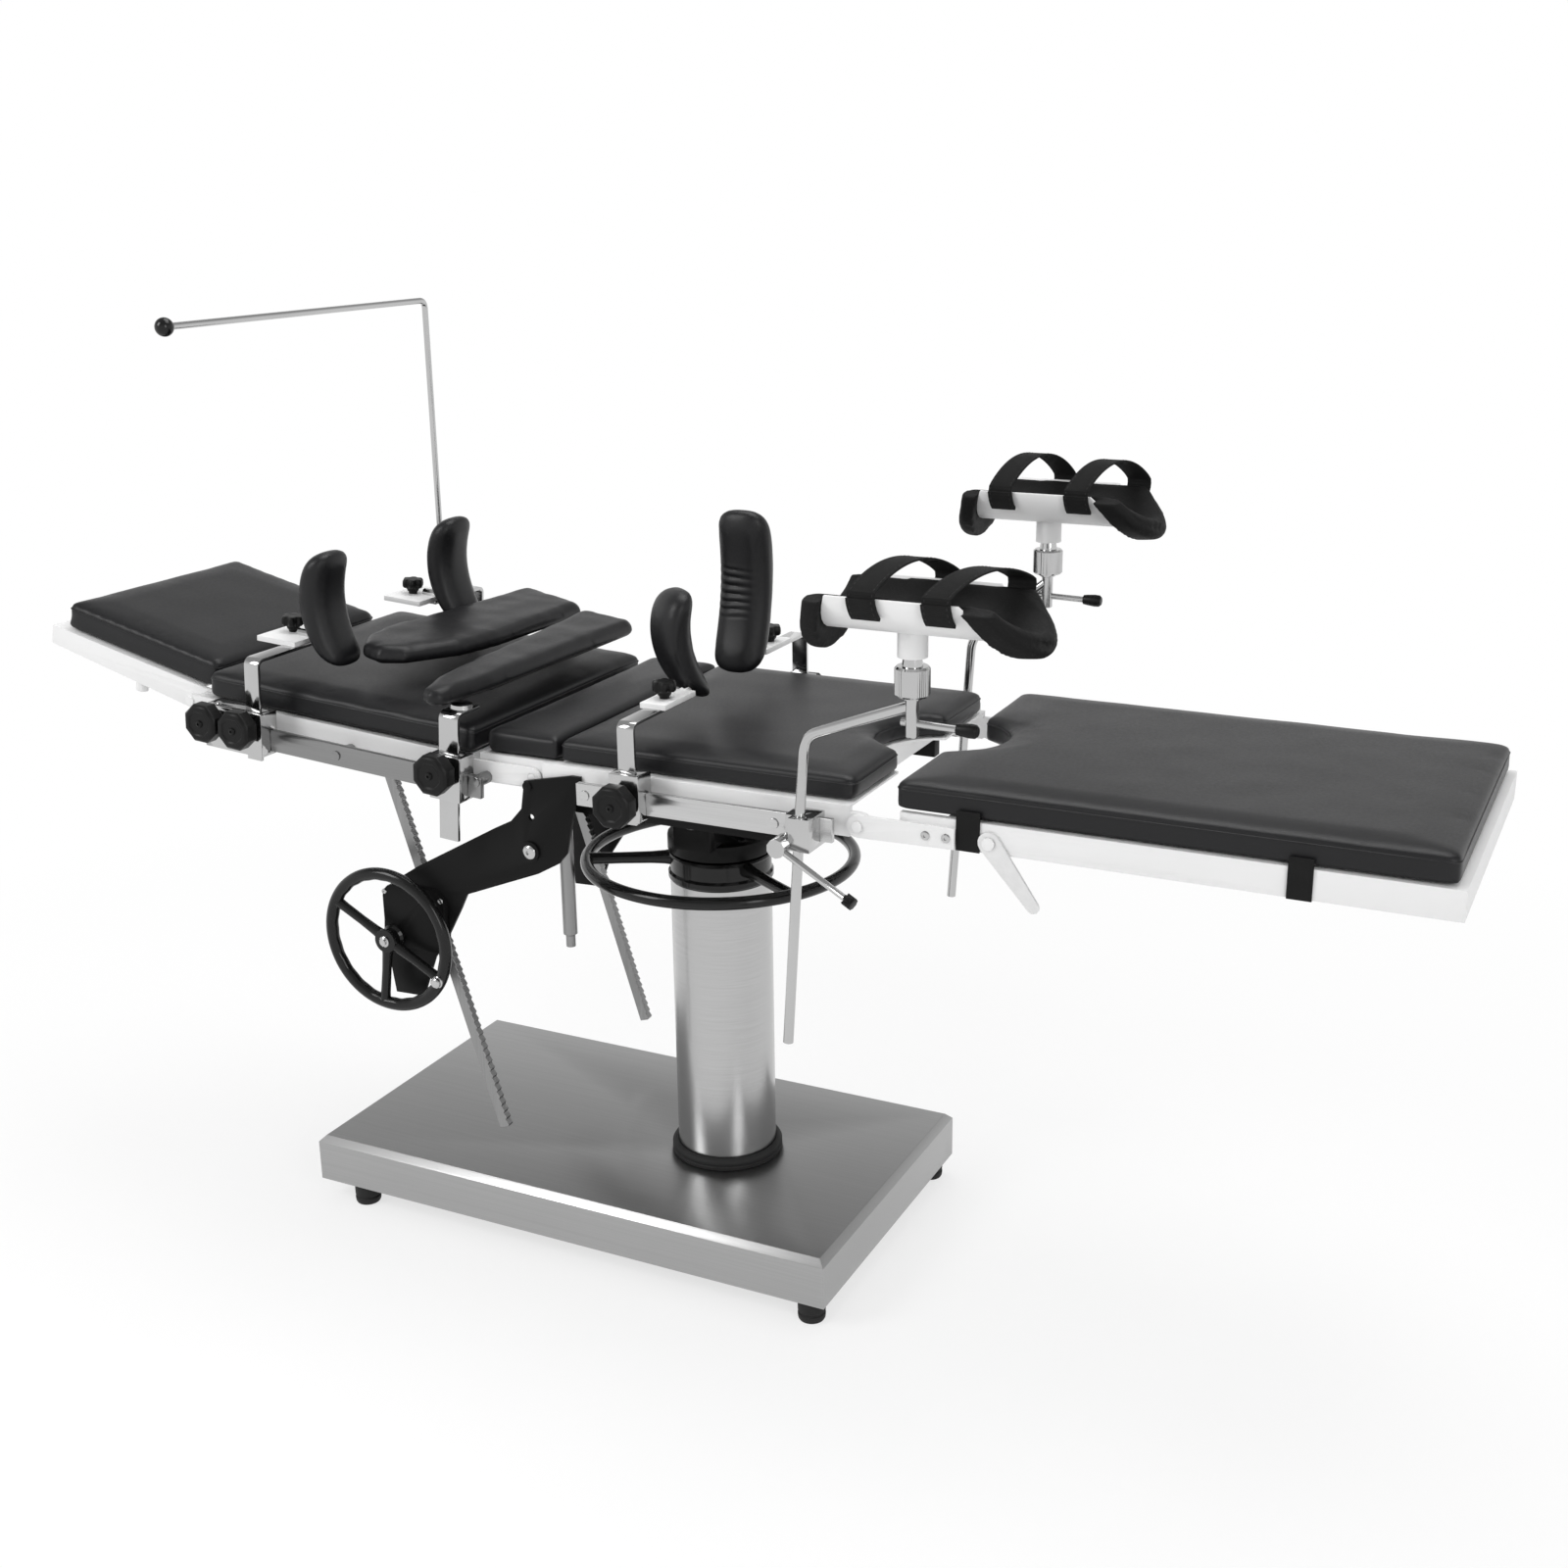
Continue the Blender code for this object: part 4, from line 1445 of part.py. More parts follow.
def build_stirrup_clamp(seat, side, word):
    half = STIRRUP_CLAMP_WIDTH / 2
    body, cuts = clamp_block((STIRRUP_CLAMP_X - half, STIRRUP_CLAMP_X + half), SEAT_RAIL_BOTTOM)
    low = SEAT_RAIL_BOTTOM - CLAMP_DROP
    high = SEAT_RAIL_BOTTOM + RAIL_HEIGHT + CLAMP_DROP
    cap = box((STIRRUP_CLAMP_X - half - OVERRUN, STIRRUP_CLAMP_X + half + OVERRUN),
              (CLAMP_LIP_Y - OVERRUN, CLAMP_OUTER_Y + OVERRUN),
              (high, SEAT_RAIL_BOTTOM + RAIL_HEIGHT + CLAMP_RISE + OVERRUN))
    body = cut(body, *cuts, cap)
    outer = STIRRUP_Y + STIRRUP_ROD_RADIUS + CLAMP_DROP
    eye = box((STIRRUP_CLAMP_X - half / 2, STIRRUP_CLAMP_X + half), (CLAMP_OUTER_Y - CLAMP_DROP, outer),
              (low, high))
    hub_z = SEAT_RAIL_BOTTOM
    hub_x = STIRRUP_CLAMP_X - half
    hub = cylinder("Y", hub_x, hub_z, T_LEVER_HUB_RADIUS, CLAMP_OUTER_Y - BITE,
                   CLAMP_OUTER_Y + T_LEVER_HUB_LENGTH, SMALL_SIDES)
    start = Vector((hub_x, CLAMP_OUTER_Y + T_LEVER_HUB_LENGTH * T_LEVER_SEAT_SHARE, hub_z))
    arm = Vector((T_LEVER_REACH_X, T_LEVER_REACH_Y, -T_LEVER_DROP))
    lever = rod(start, start + arm, T_LEVER_RADIUS, TUBE_SIDES)
    knob = rod(start + arm, start + arm * (1.0 + T_LEVER_KNOB_SHARE), T_LEVER_KNOB_RADIUS, TUBE_SIDES)
    hole = rod(stirrup_point(low - OVERRUN), stirrup_point(high + OVERRUN), STIRRUP_ROD_RADIUS + GAP)
    piece = joined(cut(joined(body, eye, hub), hole), lever, knob)
    finish(piece, "stirrup_clamp_" + word, "chrome", seat, side)


def build_stirrup_rod(rod_body, side, word):
    stem = stirrup_stem(side)
    stem_bottom = stem.z - STIRRUP_STEM_DROP
    stem_top = stem.z + STIRRUP_STEM_RISE
    knurl_top = stem_top + KNURL_HEIGHT
    cone_top = knurl_top + STIRRUP_CONE_HEIGHT
    start = stirrup_point(STIRRUP_BEND_Z)
    foot = stirrup_point(STIRRUP_ROD_BOTTOM)
    down = (foot - start).normalized()
    aim = (stem - start).normalized()
    bend = STIRRUP_ROD_RADIUS * 2
    elbow = start + (aim + down) * bend * STIRRUP_BEND_SHARE
    path = [foot, start + down * bend, elbow, start + aim * bend, stem]
    bar = tube_along(path, STIRRUP_ROD_RADIUS)
    profile = ((STIRRUP_STEM_RADIUS, stem_bottom), (STIRRUP_STEM_RADIUS, stem_top),
               (KNURL_RADIUS - BITE, stem_top + BITE / 2), (KNURL_RADIUS, stem_top + BITE),
               (KNURL_RADIUS, knurl_top - BITE), (STIRRUP_CONE_RADIUS, knurl_top),
               (STIRRUP_CONE_TOP_RADIUS, cone_top))
    post = turned("Z", stem.x, stem.y, profile)
    lever_z = stem.z - STIRRUP_LEVER_DROP
    lever_end = stem.x + STIRRUP_LEVER_LENGTH
    lever = rod((stem.x, stem.y, lever_z), (lever_end, stem.y, lever_z - BITE), STIRRUP_LEVER_RADIUS,
                TUBE_SIDES)
    grip = rod((lever_end - STIRRUP_CAP_LENGTH, stem.y, lever_z - BITE / 2),
               (lever_end, stem.y, lever_z - BITE), STIRRUP_CAP_RADIUS)
    finish(joined(bar, post, lever, grip), "stirrup_rod_" + word, "chrome", rod_body, side)
    return cone_top


def trough(centre, section, low_cut, high_cut):
    """A gutter along X, open upwards.

    Section lists (x, depth inside the shell's outer face at its sides, the same at its bottom).
    """
    rings = []
    for step in range(CUP_STEPS + 1):
        turn = math.radians(-90.0 + CUP_ANGLE * (2 * step / CUP_STEPS - 1))
        rise = math.sin(turn) + 1.0
        ring = []
        for x, side_depth, low_depth in section:
            shift = rise * (low_cut if x < centre.x else -high_cut)
            ring.append((x + shift, centre.y + (CUP_HALF_WIDTH - side_depth) * math.cos(turn),
                         centre.z + (CUP_DEPTH - low_depth) * math.sin(turn)))
        rings.append(ring)
    return ringed(rings)


def strap(centre, x, half_width, rise, skew):
    """A band over the gutter, from rim to rim; skew slides its ends apart along X."""
    span = 180.0 - 2 * STRAP_START
    turns = [math.radians(STRAP_START + span * step / STRAP_STEPS) for step in range(STRAP_STEPS + 1)]
    edges = []
    for thickness in (0.0, STRAP_WALL):
        edges.append([((half_width + thickness) * math.cos(turn),
                       centre.z + (rise + thickness) * math.sin(turn)) for turn in turns])
    outline = edges[1] + edges[0][::-1]
    rings = []
    for start in (x, x + STRAP_WIDTH):
        rings.append([(start + skew * y / half_width, centre.y + y, z) for y, z in outline])
    return ringed(rings)


def liner_section(low_x, high_x, outer, inner):
    """A padded skin inside the shell, with a thick roll that hangs over each end of it."""
    head_end = low_x - LINER_END_GAP
    foot_end = high_x + LINER_END_GAP
    head_tip = head_end - LINER_HEAD_EXTRA
    foot_tip = foot_end + LINER_FOOT_EXTRA
    roll = LINER_ROLL
    return ((head_tip + roll, -LINER_LIP, -LINER_HEAD_DROOP), (head_end, -LINER_LIP, -LINER_HEAD_DROOP),
            (head_end, outer, outer), (foot_end, outer, outer), (foot_end, -LINER_LIP, -LINER_FOOT_DROOP),
            (foot_tip - roll, -LINER_LIP, -LINER_FOOT_DROOP),
            (foot_tip, roll - LINER_LIP, roll - LINER_FOOT_DROOP), (foot_tip, inner - roll, inner - roll),
            (foot_tip - roll, inner, inner), (head_tip + roll, inner, inner),
            (head_tip, inner - roll, inner - roll), (head_tip, roll - LINER_LIP, roll - LINER_HEAD_DROOP))


def build_cup(cup, side, word, cone_top):
    stem = stirrup_stem(side)
    shell_bottom = cone_top + SOCKET_HEIGHT / 2
    low_x = stem.x - CUP_LENGTH * CUP_HEAD_SHARE
    high_x = low_x + CUP_LENGTH
    centre = Vector(((low_x + high_x) / 2, stem.y, shell_bottom + CUP_DEPTH))
    low_cut = CUP_END_CUT * CUP_HEAD_CUT_SHARE
    section = ((low_x, 0.0, 0.0), (high_x, 0.0, 0.0), (high_x, CUP_WALL, CUP_WALL), (low_x, CUP_WALL, CUP_WALL))
    shell = trough(centre, section, low_cut, CUP_END_CUT)
    socket = cylinder("Z", stem.x, stem.y, SOCKET_RADIUS, cone_top - SOCKET_HEIGHT / 2, shell_bottom + BITE)
    bore = turned("Z", stem.x, stem.y,
                  ((STIRRUP_CONE_RADIUS + RUNNING_GAP, cone_top - STIRRUP_CONE_HEIGHT),
                   (STIRRUP_CONE_TOP_RADIUS + RUNNING_GAP, cone_top + GAP)))
    finish(joined(shell, cut(socket, bore)), "stirrup_cup_" + word, "white_enamel", cup, side)

    outer = CUP_WALL + GAP
    inner = outer + LINER_WALL
    liner = trough(centre, liner_section(low_x, high_x, outer, inner), low_cut, CUP_END_CUT)
    shares = NEAR_STRAP_SHARES if side == NEAR else FAR_STRAP_SHARES
    rise = NEAR_STRAP_RISE if side == NEAR else FAR_STRAP_RISE
    half_width = CUP_HALF_WIDTH - (outer + inner) / 2
    bands = [strap(centre, low_x + share * CUP_LENGTH, half_width, rise, STRAP_SKEW * side)
             for share in shares]
    finish(joined(liner, *bands), "stirrup_liner_" + word, "black_fabric", cup, side)


# The whole table
def build_table():
    clear_scene()
    raise_turn = math.radians(BACK_RAISE + HEAD_RAISE)
    hinge_turn = math.radians(BACK_RAISE)
    head_x = BACK_HINGE_X + (HEAD_HINGE_X - BACK_HINGE_X) * math.cos(hinge_turn)
    head_x += (HEAD_HINGE_Z - BACK_HINGE_Z) * math.sin(hinge_turn)
    low_corner = HEAD_FRAME_TOP - HEAD_STRIP_HEIGHT - HEAD_HINGE_Z
    head_end = head_x - HEAD_LENGTH * math.cos(raise_turn) + low_corner * math.sin(raise_turn)
    middle_x = (head_end + LEG_FOOT_X) / 2

    root = carrier("table", None, (0.0, 0.0, 0.0))
    root.location.x = -middle_x
    lift = carrier("lift_axis", root, (COLUMN_X, 0.0, 0.0))
    wheel = carrier("lift_wheel_axis", root, (COLUMN_X, 0.0, LIFT_WHEEL_Z))
    pitch = carrier("pitch_axis", lift, (COLUMN_X, 0.0, PITCH_Z))
    seat = carrier("roll_axis", pitch, (COLUMN_X, 0.0, ROLL_Z))
    bridge = carrier("bridge_axis", seat, (BRIDGE_ROD_X, 0.0, SEAT_FRAME_TOP))
    pinion_x, pinion_z = pinion_centre()
    pinion = carrier("pinion_axis", seat, (pinion_x, 0.0, pinion_z))
    side_wheel = carrier("side_wheel_axis", seat, (SIDE_WHEEL_X, -SIDE_WHEEL_Y, SIDE_WHEEL_Z))
    back = carrier("back_axis", seat, (BACK_HINGE_X, 0.0, BACK_HINGE_Z), BACK_RAISE)
    head = carrier("head_axis", back, (HEAD_HINGE_X, 0.0, HEAD_HINGE_Z), HEAD_RAISE)
    leg = carrier("leg_axis", seat, (LEG_HINGE_X, 0.0, LEG_HINGE_Z))
    lever = carrier("leg_lever_axis", leg, (LEG_LEVER_X, -LEG_OUTER_Y, LEG_LEVER_Z), LEG_LEVER_TURN)
    screen = carrier("screen_axis", back, (SHOULDER_SECOND_X, SCREEN_Y, BACK_RAIL_BOTTOM), -BACK_RAISE)

    build_base(root)
    build_column(root, lift, wheel)
    build_pitch_block(pitch)
    build_seat(seat)
    build_arm_plates(seat)
    build_pinion(pinion)
    build_side_wheel(side_wheel)
    build_bridge(bridge)
    build_back(back)
    build_head(head)
    build_leg(leg, lever)
    build_screen(screen)
    for side, word in ((NEAR, "near"), (FAR, "far")):
        rack = carrier("rack_axis_" + word, back, (RACK_PIVOT_X, side * RACK_Y, RACK_PIVOT_Z),
                       RACK_LEAN - BACK_RAISE)
        build_rack("rack_" + word, rack, side)
        shoulder = carrier("shoulder_axis_" + word, back,
                           (SHOULDER_X, side * POST_INNER_Y, BACK_RAIL_BOTTOM))
        build_shoulder_support(back, shoulder, side, word)
        hip_x = HIP_NEAR_X if side == NEAR else HIP_FAR_X
        hip = carrier("hip_axis_" + word, seat, (hip_x, side * POST_INNER_Y, SEAT_RAIL_BOTTOM))
        build_hip_support(seat, hip, side, word)
        arm_x = ARM_NEAR_X if side == NEAR else ARM_FAR_X
        arm_post = carrier("arm_post_axis_" + word, back, (arm_x, side * POST_INNER_Y, BACK_RAIL_BOTTOM))
        board = carrier("armboard_axis_" + word, arm_post, (arm_x, side * ARM_SWIVEL_Y, ARM_POST_TOP))
        build_armboard(back, arm_post, board, side, word)
        build_stirrup_clamp(seat, side, word)
        stirrup = carrier("stirrup_axis_" + word, seat,
                          (STIRRUP_CLAMP_X, side * STIRRUP_Y, SEAT_RAIL_BOTTOM))
        cone_top = build_stirrup_rod(stirrup, side, word)
        stem = stirrup_stem(side)
        cup = carrier("cup_axis_" + word, stirrup, (stem.x, side * stem.y, cone_top))
        build_cup(cup, side, word, cone_top)


build_table()
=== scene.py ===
"""A manual operating table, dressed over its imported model.

Metres, +Z up, +X to the foot end and -Y to the near side. Rigid pieces whose shape is already
right are copied, merged and given soft edges. Round, padded and woven pieces are made anew.
"""
import json
import math

import bpy
from mathutils import Matrix, Vector, noise


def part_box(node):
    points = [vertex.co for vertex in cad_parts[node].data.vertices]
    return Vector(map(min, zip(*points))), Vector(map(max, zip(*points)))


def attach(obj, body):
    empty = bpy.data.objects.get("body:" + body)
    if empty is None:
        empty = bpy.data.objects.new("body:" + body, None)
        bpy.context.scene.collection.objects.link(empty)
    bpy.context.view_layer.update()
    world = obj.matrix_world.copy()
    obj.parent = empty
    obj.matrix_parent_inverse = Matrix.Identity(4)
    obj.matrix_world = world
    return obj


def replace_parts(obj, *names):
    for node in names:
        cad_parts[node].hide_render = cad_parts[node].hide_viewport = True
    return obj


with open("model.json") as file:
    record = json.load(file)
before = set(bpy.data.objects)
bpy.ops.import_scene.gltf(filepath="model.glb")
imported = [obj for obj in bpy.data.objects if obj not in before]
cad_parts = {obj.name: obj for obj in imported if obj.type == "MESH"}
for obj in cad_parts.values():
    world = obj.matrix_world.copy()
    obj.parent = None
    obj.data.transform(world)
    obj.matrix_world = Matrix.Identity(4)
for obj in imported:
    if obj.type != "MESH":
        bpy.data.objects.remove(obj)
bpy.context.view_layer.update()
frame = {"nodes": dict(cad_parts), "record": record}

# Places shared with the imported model
MIDDLE_X = 0.153498
COLUMN_X = 0.165
LIFT_WHEEL_Z = 0.6
SIDE_WHEEL_X, SIDE_WHEEL_Z = -0.248, 0.5
SIDE_WHEEL_RADIUS = 0.104
FOOT_Y = 0.2285
HINGE_Z = 0.775
BACK_RISE, HEAD_RISE = 4.0, 13.4
HIP_NEAR_X, HIP_FAR_X = 0.151, 0.163
SIDES = (("near", -1), ("far", 1))
UP = Vector((0.0, 0.0, 1.0))
ALL_ROUND = Vector((0.0, 0.0, 0.0))
MERGE = 0.00001


def at(x, y, z):
    """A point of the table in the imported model's frame."""
    return Vector((x - MIDDLE_X, y, z))


# Shader groups
def new_group(name, inputs, outputs):
    group = bpy.data.node_groups.new(name, "ShaderNodeTree")
    for label, kind, value in inputs:
        socket = group.interface.new_socket(label, in_out="INPUT", socket_type=kind)
        if value is not None:
            socket.default_value = value
    for label, kind in outputs:
        group.interface.new_socket(label, in_out="OUTPUT", socket_type=kind)
    start = group.nodes.new("NodeGroupInput")
    end = group.nodes.new("NodeGroupOutput")
    start.location = (-900, 0)
    end.location = (500, 0)
    return group, start, end


def texture(group, kind, vector, scale, detail=2.0):
    node = group.nodes.new(kind)
    node.inputs["Scale"].default_value = scale
    if "Detail" in node.inputs:
        node.inputs["Detail"].default_value = detail
    group.links.new(vector, node.inputs["Vector"])
    return node


def map_range(group, value, low, high):
    """Spread a 0 to 1 value between two sockets."""
    node = group.nodes.new("ShaderNodeMapRange")
    group.links.new(value, node.inputs["Value"])
    group.links.new(low, node.inputs["To Min"])
    group.links.new(high, node.inputs["To Max"])
    return node.outputs["Result"]


def mix_colours(group, factor, first, second):
    node = group.nodes.new("ShaderNodeMix")
    node.data_type = "RGBA"
    group.links.new(factor, node.inputs["Factor"])
    group.links.new(first, node.inputs["A"])
    group.links.new(second, node.inputs["B"])
    return node.outputs["Result"]


def sum_of(group, first, second, share):
    node = group.nodes.new("ShaderNodeMath")
    node.operation = "MULTIPLY_ADD"
    group.links.new(second, node.inputs[0])
    node.inputs[1].default_value = share
    group.links.new(first, node.inputs[2])
    return node.outputs["Value"]


COMMON_INPUTS = (("Vector", "NodeSocketVector", None), ("Colour", "NodeSocketColor", (0.5, 0.5, 0.5, 1.0)),
                 ("Second Colour", "NodeSocketColor", (0.4, 0.4, 0.4, 1.0)),
                 ("Smoothest", "NodeSocketFloat", 0.3), ("Roughest", "NodeSocketFloat", 0.5))
COMMON_OUTPUTS = (("Colour", "NodeSocketColor"), ("Roughness", "NodeSocketFloat"),
                  ("Height", "NodeSocketFloat"))


def output_finish(group, start, end, tone, wear, height):
    """Colour follows the tone mask, roughness follows the wear mask."""
    links = group.links
    links.new(mix_colours(group, tone, start.outputs["Colour"], start.outputs["Second Colour"]),
              end.inputs["Colour"])
    links.new(map_range(group, wear, start.outputs["Smoothest"], start.outputs["Roughest"]),
              end.inputs["Roughness"])
    links.new(height, end.inputs["Height"])


def brushed_group():
    """Long polishing lines; the stretch sets how close they lie along each axis."""
    inputs = COMMON_INPUTS + (("Stretch", "NodeSocketVector", (4.0, 500.0, 500.0)),)
    group, start, end = new_group("Brushed lines", inputs, COMMON_OUTPUTS)
    spread = group.nodes.new("ShaderNodeVectorMath")
    spread.operation = "MULTIPLY"
    group.links.new(start.outputs["Vector"], spread.inputs[0])
    group.links.new(start.outputs["Stretch"], spread.inputs[1])
    lines = texture(group, "ShaderNodeTexNoise", spread.outputs["Vector"], 1.0, 3.0)
    clouds = texture(group, "ShaderNodeTexNoise", start.outputs["Vector"], 5.0, 2.0)
    tone = sum_of(group, lines.outputs["Fac"], clouds.outputs["Fac"], 0.2)
    output_finish(group, start, end, tone, lines.outputs["Fac"], lines.outputs["Fac"])
    return group


def leather_group():
    """Pebbled grain of coated cloth, with broad soft patches."""
    inputs = COMMON_INPUTS + (("Grain", "NodeSocketFloat", 900.0),)
    group, start, end = new_group("Leather grain", inputs, COMMON_OUTPUTS)
    cells = texture(group, "ShaderNodeTexVoronoi", start.outputs["Vector"], 900.0)
    cells.feature = "SMOOTH_F1"
    group.links.new(start.outputs["Grain"], cells.inputs["Scale"])
    fine = texture(group, "ShaderNodeTexNoise", start.outputs["Vector"], 260.0, 3.0)
    patches = texture(group, "ShaderNodeTexNoise", start.outputs["Vector"], 7.0, 3.0)
    height = sum_of(group, cells.outputs["Distance"], fine.outputs["Fac"], 0.6)
    output_finish(group, start, end, patches.outputs["Fac"], fine.outputs["Fac"], height)
    return group


def coat_group():
    """Sprayed or moulded skin: a faint orange peel and slow changes in gloss."""
    inputs = COMMON_INPUTS + (("Peel", "NodeSocketFloat", 350.0),)
    group, start, end = new_group("Coated skin", inputs, COMMON_OUTPUTS)
    peel = texture(group, "ShaderNodeTexNoise", start.outputs["Vector"], 350.0, 2.0)
    group.links.new(start.outputs["Peel"], peel.inputs["Scale"])
    slow = texture(group, "ShaderNodeTexNoise", start.outputs["Vector"], 9.0, 3.0)
    output_finish(group, start, end, slow.outputs["Fac"], slow.outputs["Fac"], peel.outputs["Fac"])
    return group


def weave_group():
    """Crossing threads of webbing."""
    inputs = COMMON_INPUTS + (("Threads", "NodeSocketFloat", 420.0),)
    group, start, end = new_group("Woven threads", inputs, COMMON_OUTPUTS)
    heights = []
    for direction in ("X", "Y"):
        wave = texture(group, "ShaderNodeTexWave", start.outputs["Vector"], 420.0, 1.0)
        wave.bands_direction = direction
        wave.inputs["Distortion"].default_value = 0.6
        group.links.new(start.outputs["Threads"], wave.inputs["Scale"])
        heights.append(wave.outputs["Fac"])
    height = sum_of(group, heights[0], heights[1], 1.0)
    slow = texture(group, "ShaderNodeTexNoise", start.outputs["Vector"], 40.0, 3.0)
    output_finish(group, start, end, slow.outputs["Fac"], heights[0], height)
    return group


BRUSHED = brushed_group()
LEATHER = leather_group()
COATED = coat_group()
WOVEN = weave_group()
# Each group's own socket
OWN_SOCKET = {BRUSHED: "Stretch", LEATHER: "Grain", COATED: "Peel", WOVEN: "Threads"}


def grey(value, blue=0.0):
    return (value, value, value + blue, 1.0)


def surface(name, slot, group, colour, second, roughness, bump, own=None, **settings):
    """A material: the group feeds the Principled shader, settings go on its own sockets."""
    made = bpy.data.materials.new(name)
    made.use_nodes = True
    made.diffuse_color = grey(*colour)
    nodes, links = made.node_tree.nodes, made.node_tree.links
    shader = nodes["Principled BSDF"]
    for label, value in settings.items():
        shader.inputs[label.replace("_", " ")].default_value = value
    effect = nodes.new("ShaderNodeGroup")
    effect.node_tree = group
    effect.location = (-500, 0)
    effect.inputs["Colour"].default_value = grey(*colour)
    effect.inputs["Second Colour"].default_value = grey(*second)
    effect.inputs["Smoothest"].default_value = roughness[0]
    effect.inputs["Roughest"].default_value = roughness[1]
    if own:
        effect.inputs[OWN_SOCKET[group]].default_value = own
    place = nodes.new("ShaderNodeTexCoord")
    place.location = (-750, 0)
    relief = nodes.new("ShaderNodeBump")
    relief.location = (-250, -250)
    relief.inputs["Strength"].default_value = bump[0]
    relief.inputs["Distance"].default_value = bump[1]
    links.new(place.outputs["Object"], effect.inputs["Vector"])
    links.new(effect.outputs["Colour"], shader.inputs["Base Color"])
    links.new(effect.outputs["Roughness"], shader.inputs["Roughness"])
    links.new(effect.outputs["Height"], relief.inputs["Height"])
    links.new(relief.outputs["Normal"], shader.inputs["Normal"])
    return made


SHEET_STEEL = surface("Brushed sheet steel", "brushed_steel", BRUSHED, (0.44,), (0.36,), (0.24, 0.38),
                      (0.15, 0.0002), (3.0, 700.0, 700.0), Metallic=1.0)
TUBE_STEEL = surface("Turned tube steel", "column_steel", BRUSHED, (0.54,), (0.45,), (0.2, 0.3),
                     (0.1, 0.0001), (12.0, 12.0, 900.0), Metallic=1.0)
RAIL_STEEL = surface("Bright rail steel", "brushed_steel", BRUSHED, (0.62,), (0.5,), (0.18, 0.32),
                     (0.12, 0.0001), (4.0, 800.0, 800.0), Metallic=1.0)
# A darker copy of the rail steel: painted shade for the back rails, which lie in shadow
SHADED_RAIL_STEEL = surface("Rail steel with painted shade", "brushed_steel", BRUSHED, (0.3,), (0.24,), (0.24, 0.36),
                     (0.15, 0.0002), (4.0, 800.0, 800.0), Metallic=1.0)
LEVER_STEEL = surface("Pale lever steel", "brushed_steel", BRUSHED, (0.8,), (0.7,), (0.25, 0.4),
                      (0.15, 0.0002), (60.0, 800.0, 60.0), Metallic=0.6)
RACK_STEEL = surface("Satin rack steel", "satin_steel", BRUSHED, (0.34,), (0.26,), (0.28, 0.42),
                     (0.3, 0.0002), (600.0, 600.0, 8.0), Metallic=1.0)
CHROME = surface("Polished chrome", "chrome", COATED, (0.56,), (0.46,), (0.08, 0.16), (0.05, 0.0001),
                 120.0, Metallic=1.0)
WHITE_PAINT = surface("White frame paint", "white_enamel", COATED, (0.82,), (0.78,), (0.3, 0.42),
                      (0.1, 0.0002))
BLACK_PAINT = surface("Satin black paint", "black_enamel", COATED, (0.004,), (0.007,), (0.34, 0.46),
                      (0.15, 0.0002), Specular_IOR_Level=0.12)
GLOSS_BLACK = surface("Glossy black wheel", "gloss_black", COATED, (0.005,), (0.008,), (0.12, 0.22),
                      (0.06, 0.0002), 90.0, Specular_IOR_Level=0.25, Coat_Weight=0.12, Coat_Roughness=0.08)
KNOB_BLACK = surface("Moulded black knob", "gloss_black", COATED, (0.005,), (0.008,), (0.3, 0.45),
                     (0.2, 0.0002), 700.0, Specular_IOR_Level=0.18)
RUBBER = surface("Black rubber", "rubber", COATED, (0.01,), (0.018,), (0.55, 0.75), (0.25, 0.0003),
                 500.0, Specular_IOR_Level=0.3)
LEATHERETTE = surface("Black leatherette", "black_leatherette", LEATHER, (0.006, 0.0008),
                      (0.01, 0.001), (0.32, 0.46), (0.22, 0.0004), 900.0, Specular_IOR_Level=0.3)
LINING = surface("Black padded lining", "black_fabric", LEATHER, (0.004,), (0.009,), (0.55, 0.75),
                 (0.4, 0.0006), 500.0, Specular_IOR_Level=0.16)
WEBBING = surface("Black webbing", "black_fabric", WOVEN, (0.006,), (0.012,), (0.6, 0.85),
                  (0.6, 0.0006), 420.0, Specular_IOR_Level=0.2)
THREAD = surface("Grey sewing thread", "black_fabric", WOVEN, (0.03,), (0.05,), (0.6, 0.8),
                 (0.4, 0.0003), 900.0, Specular_IOR_Level=0.3)
IRON = surface("Grey cast plate", "cast_iron", COATED, (0.1,), (0.07,), (0.55, 0.75), (0.4, 0.0005),
               150.0, Metallic=0.4)


# Handling pieces
def only(piece):
    """Make one piece the only selected and active one."""
    if bpy.context.object and bpy.context.object.mode != "OBJECT":
        bpy.ops.object.mode_set(mode="OBJECT")
    bpy.ops.object.select_all(action="DESELECT")
    piece.select_set(True)
    bpy.context.view_layer.objects.active = piece
    return piece


def linked(name, data):
    """A new object in the scene."""
    piece = bpy.data.objects.new(name, data)
    bpy.context.scene.collection.objects.link(piece)
    return piece


def edit(piece):
    only(piece)
    bpy.ops.object.mode_set(mode="EDIT")
    bpy.ops.mesh.select_all(action="SELECT")


def settle():
    bpy.ops.object.mode_set(mode="OBJECT")


def face_out(piece):
    edit(piece)
    bpy.ops.mesh.normals_make_consistent(inside=False)
    settle()


def unselect(piece):
    """Leave nothing of a piece's mesh selected."""
    edit(piece)
    bpy.ops.mesh.select_all(action="DESELECT")
    settle()


def apply_place(piece):
    only(piece)
    bpy.ops.object.transform_apply(location=True, rotation=True, scale=True)


def apply_modifier(piece, kind, **settings):
    only(piece)
    step = piece.modifiers.new(kind.title(), kind)
    for label, value in settings.items():
        setattr(step, label, value)
    bpy.ops.object.modifier_apply(modifier=step.name)


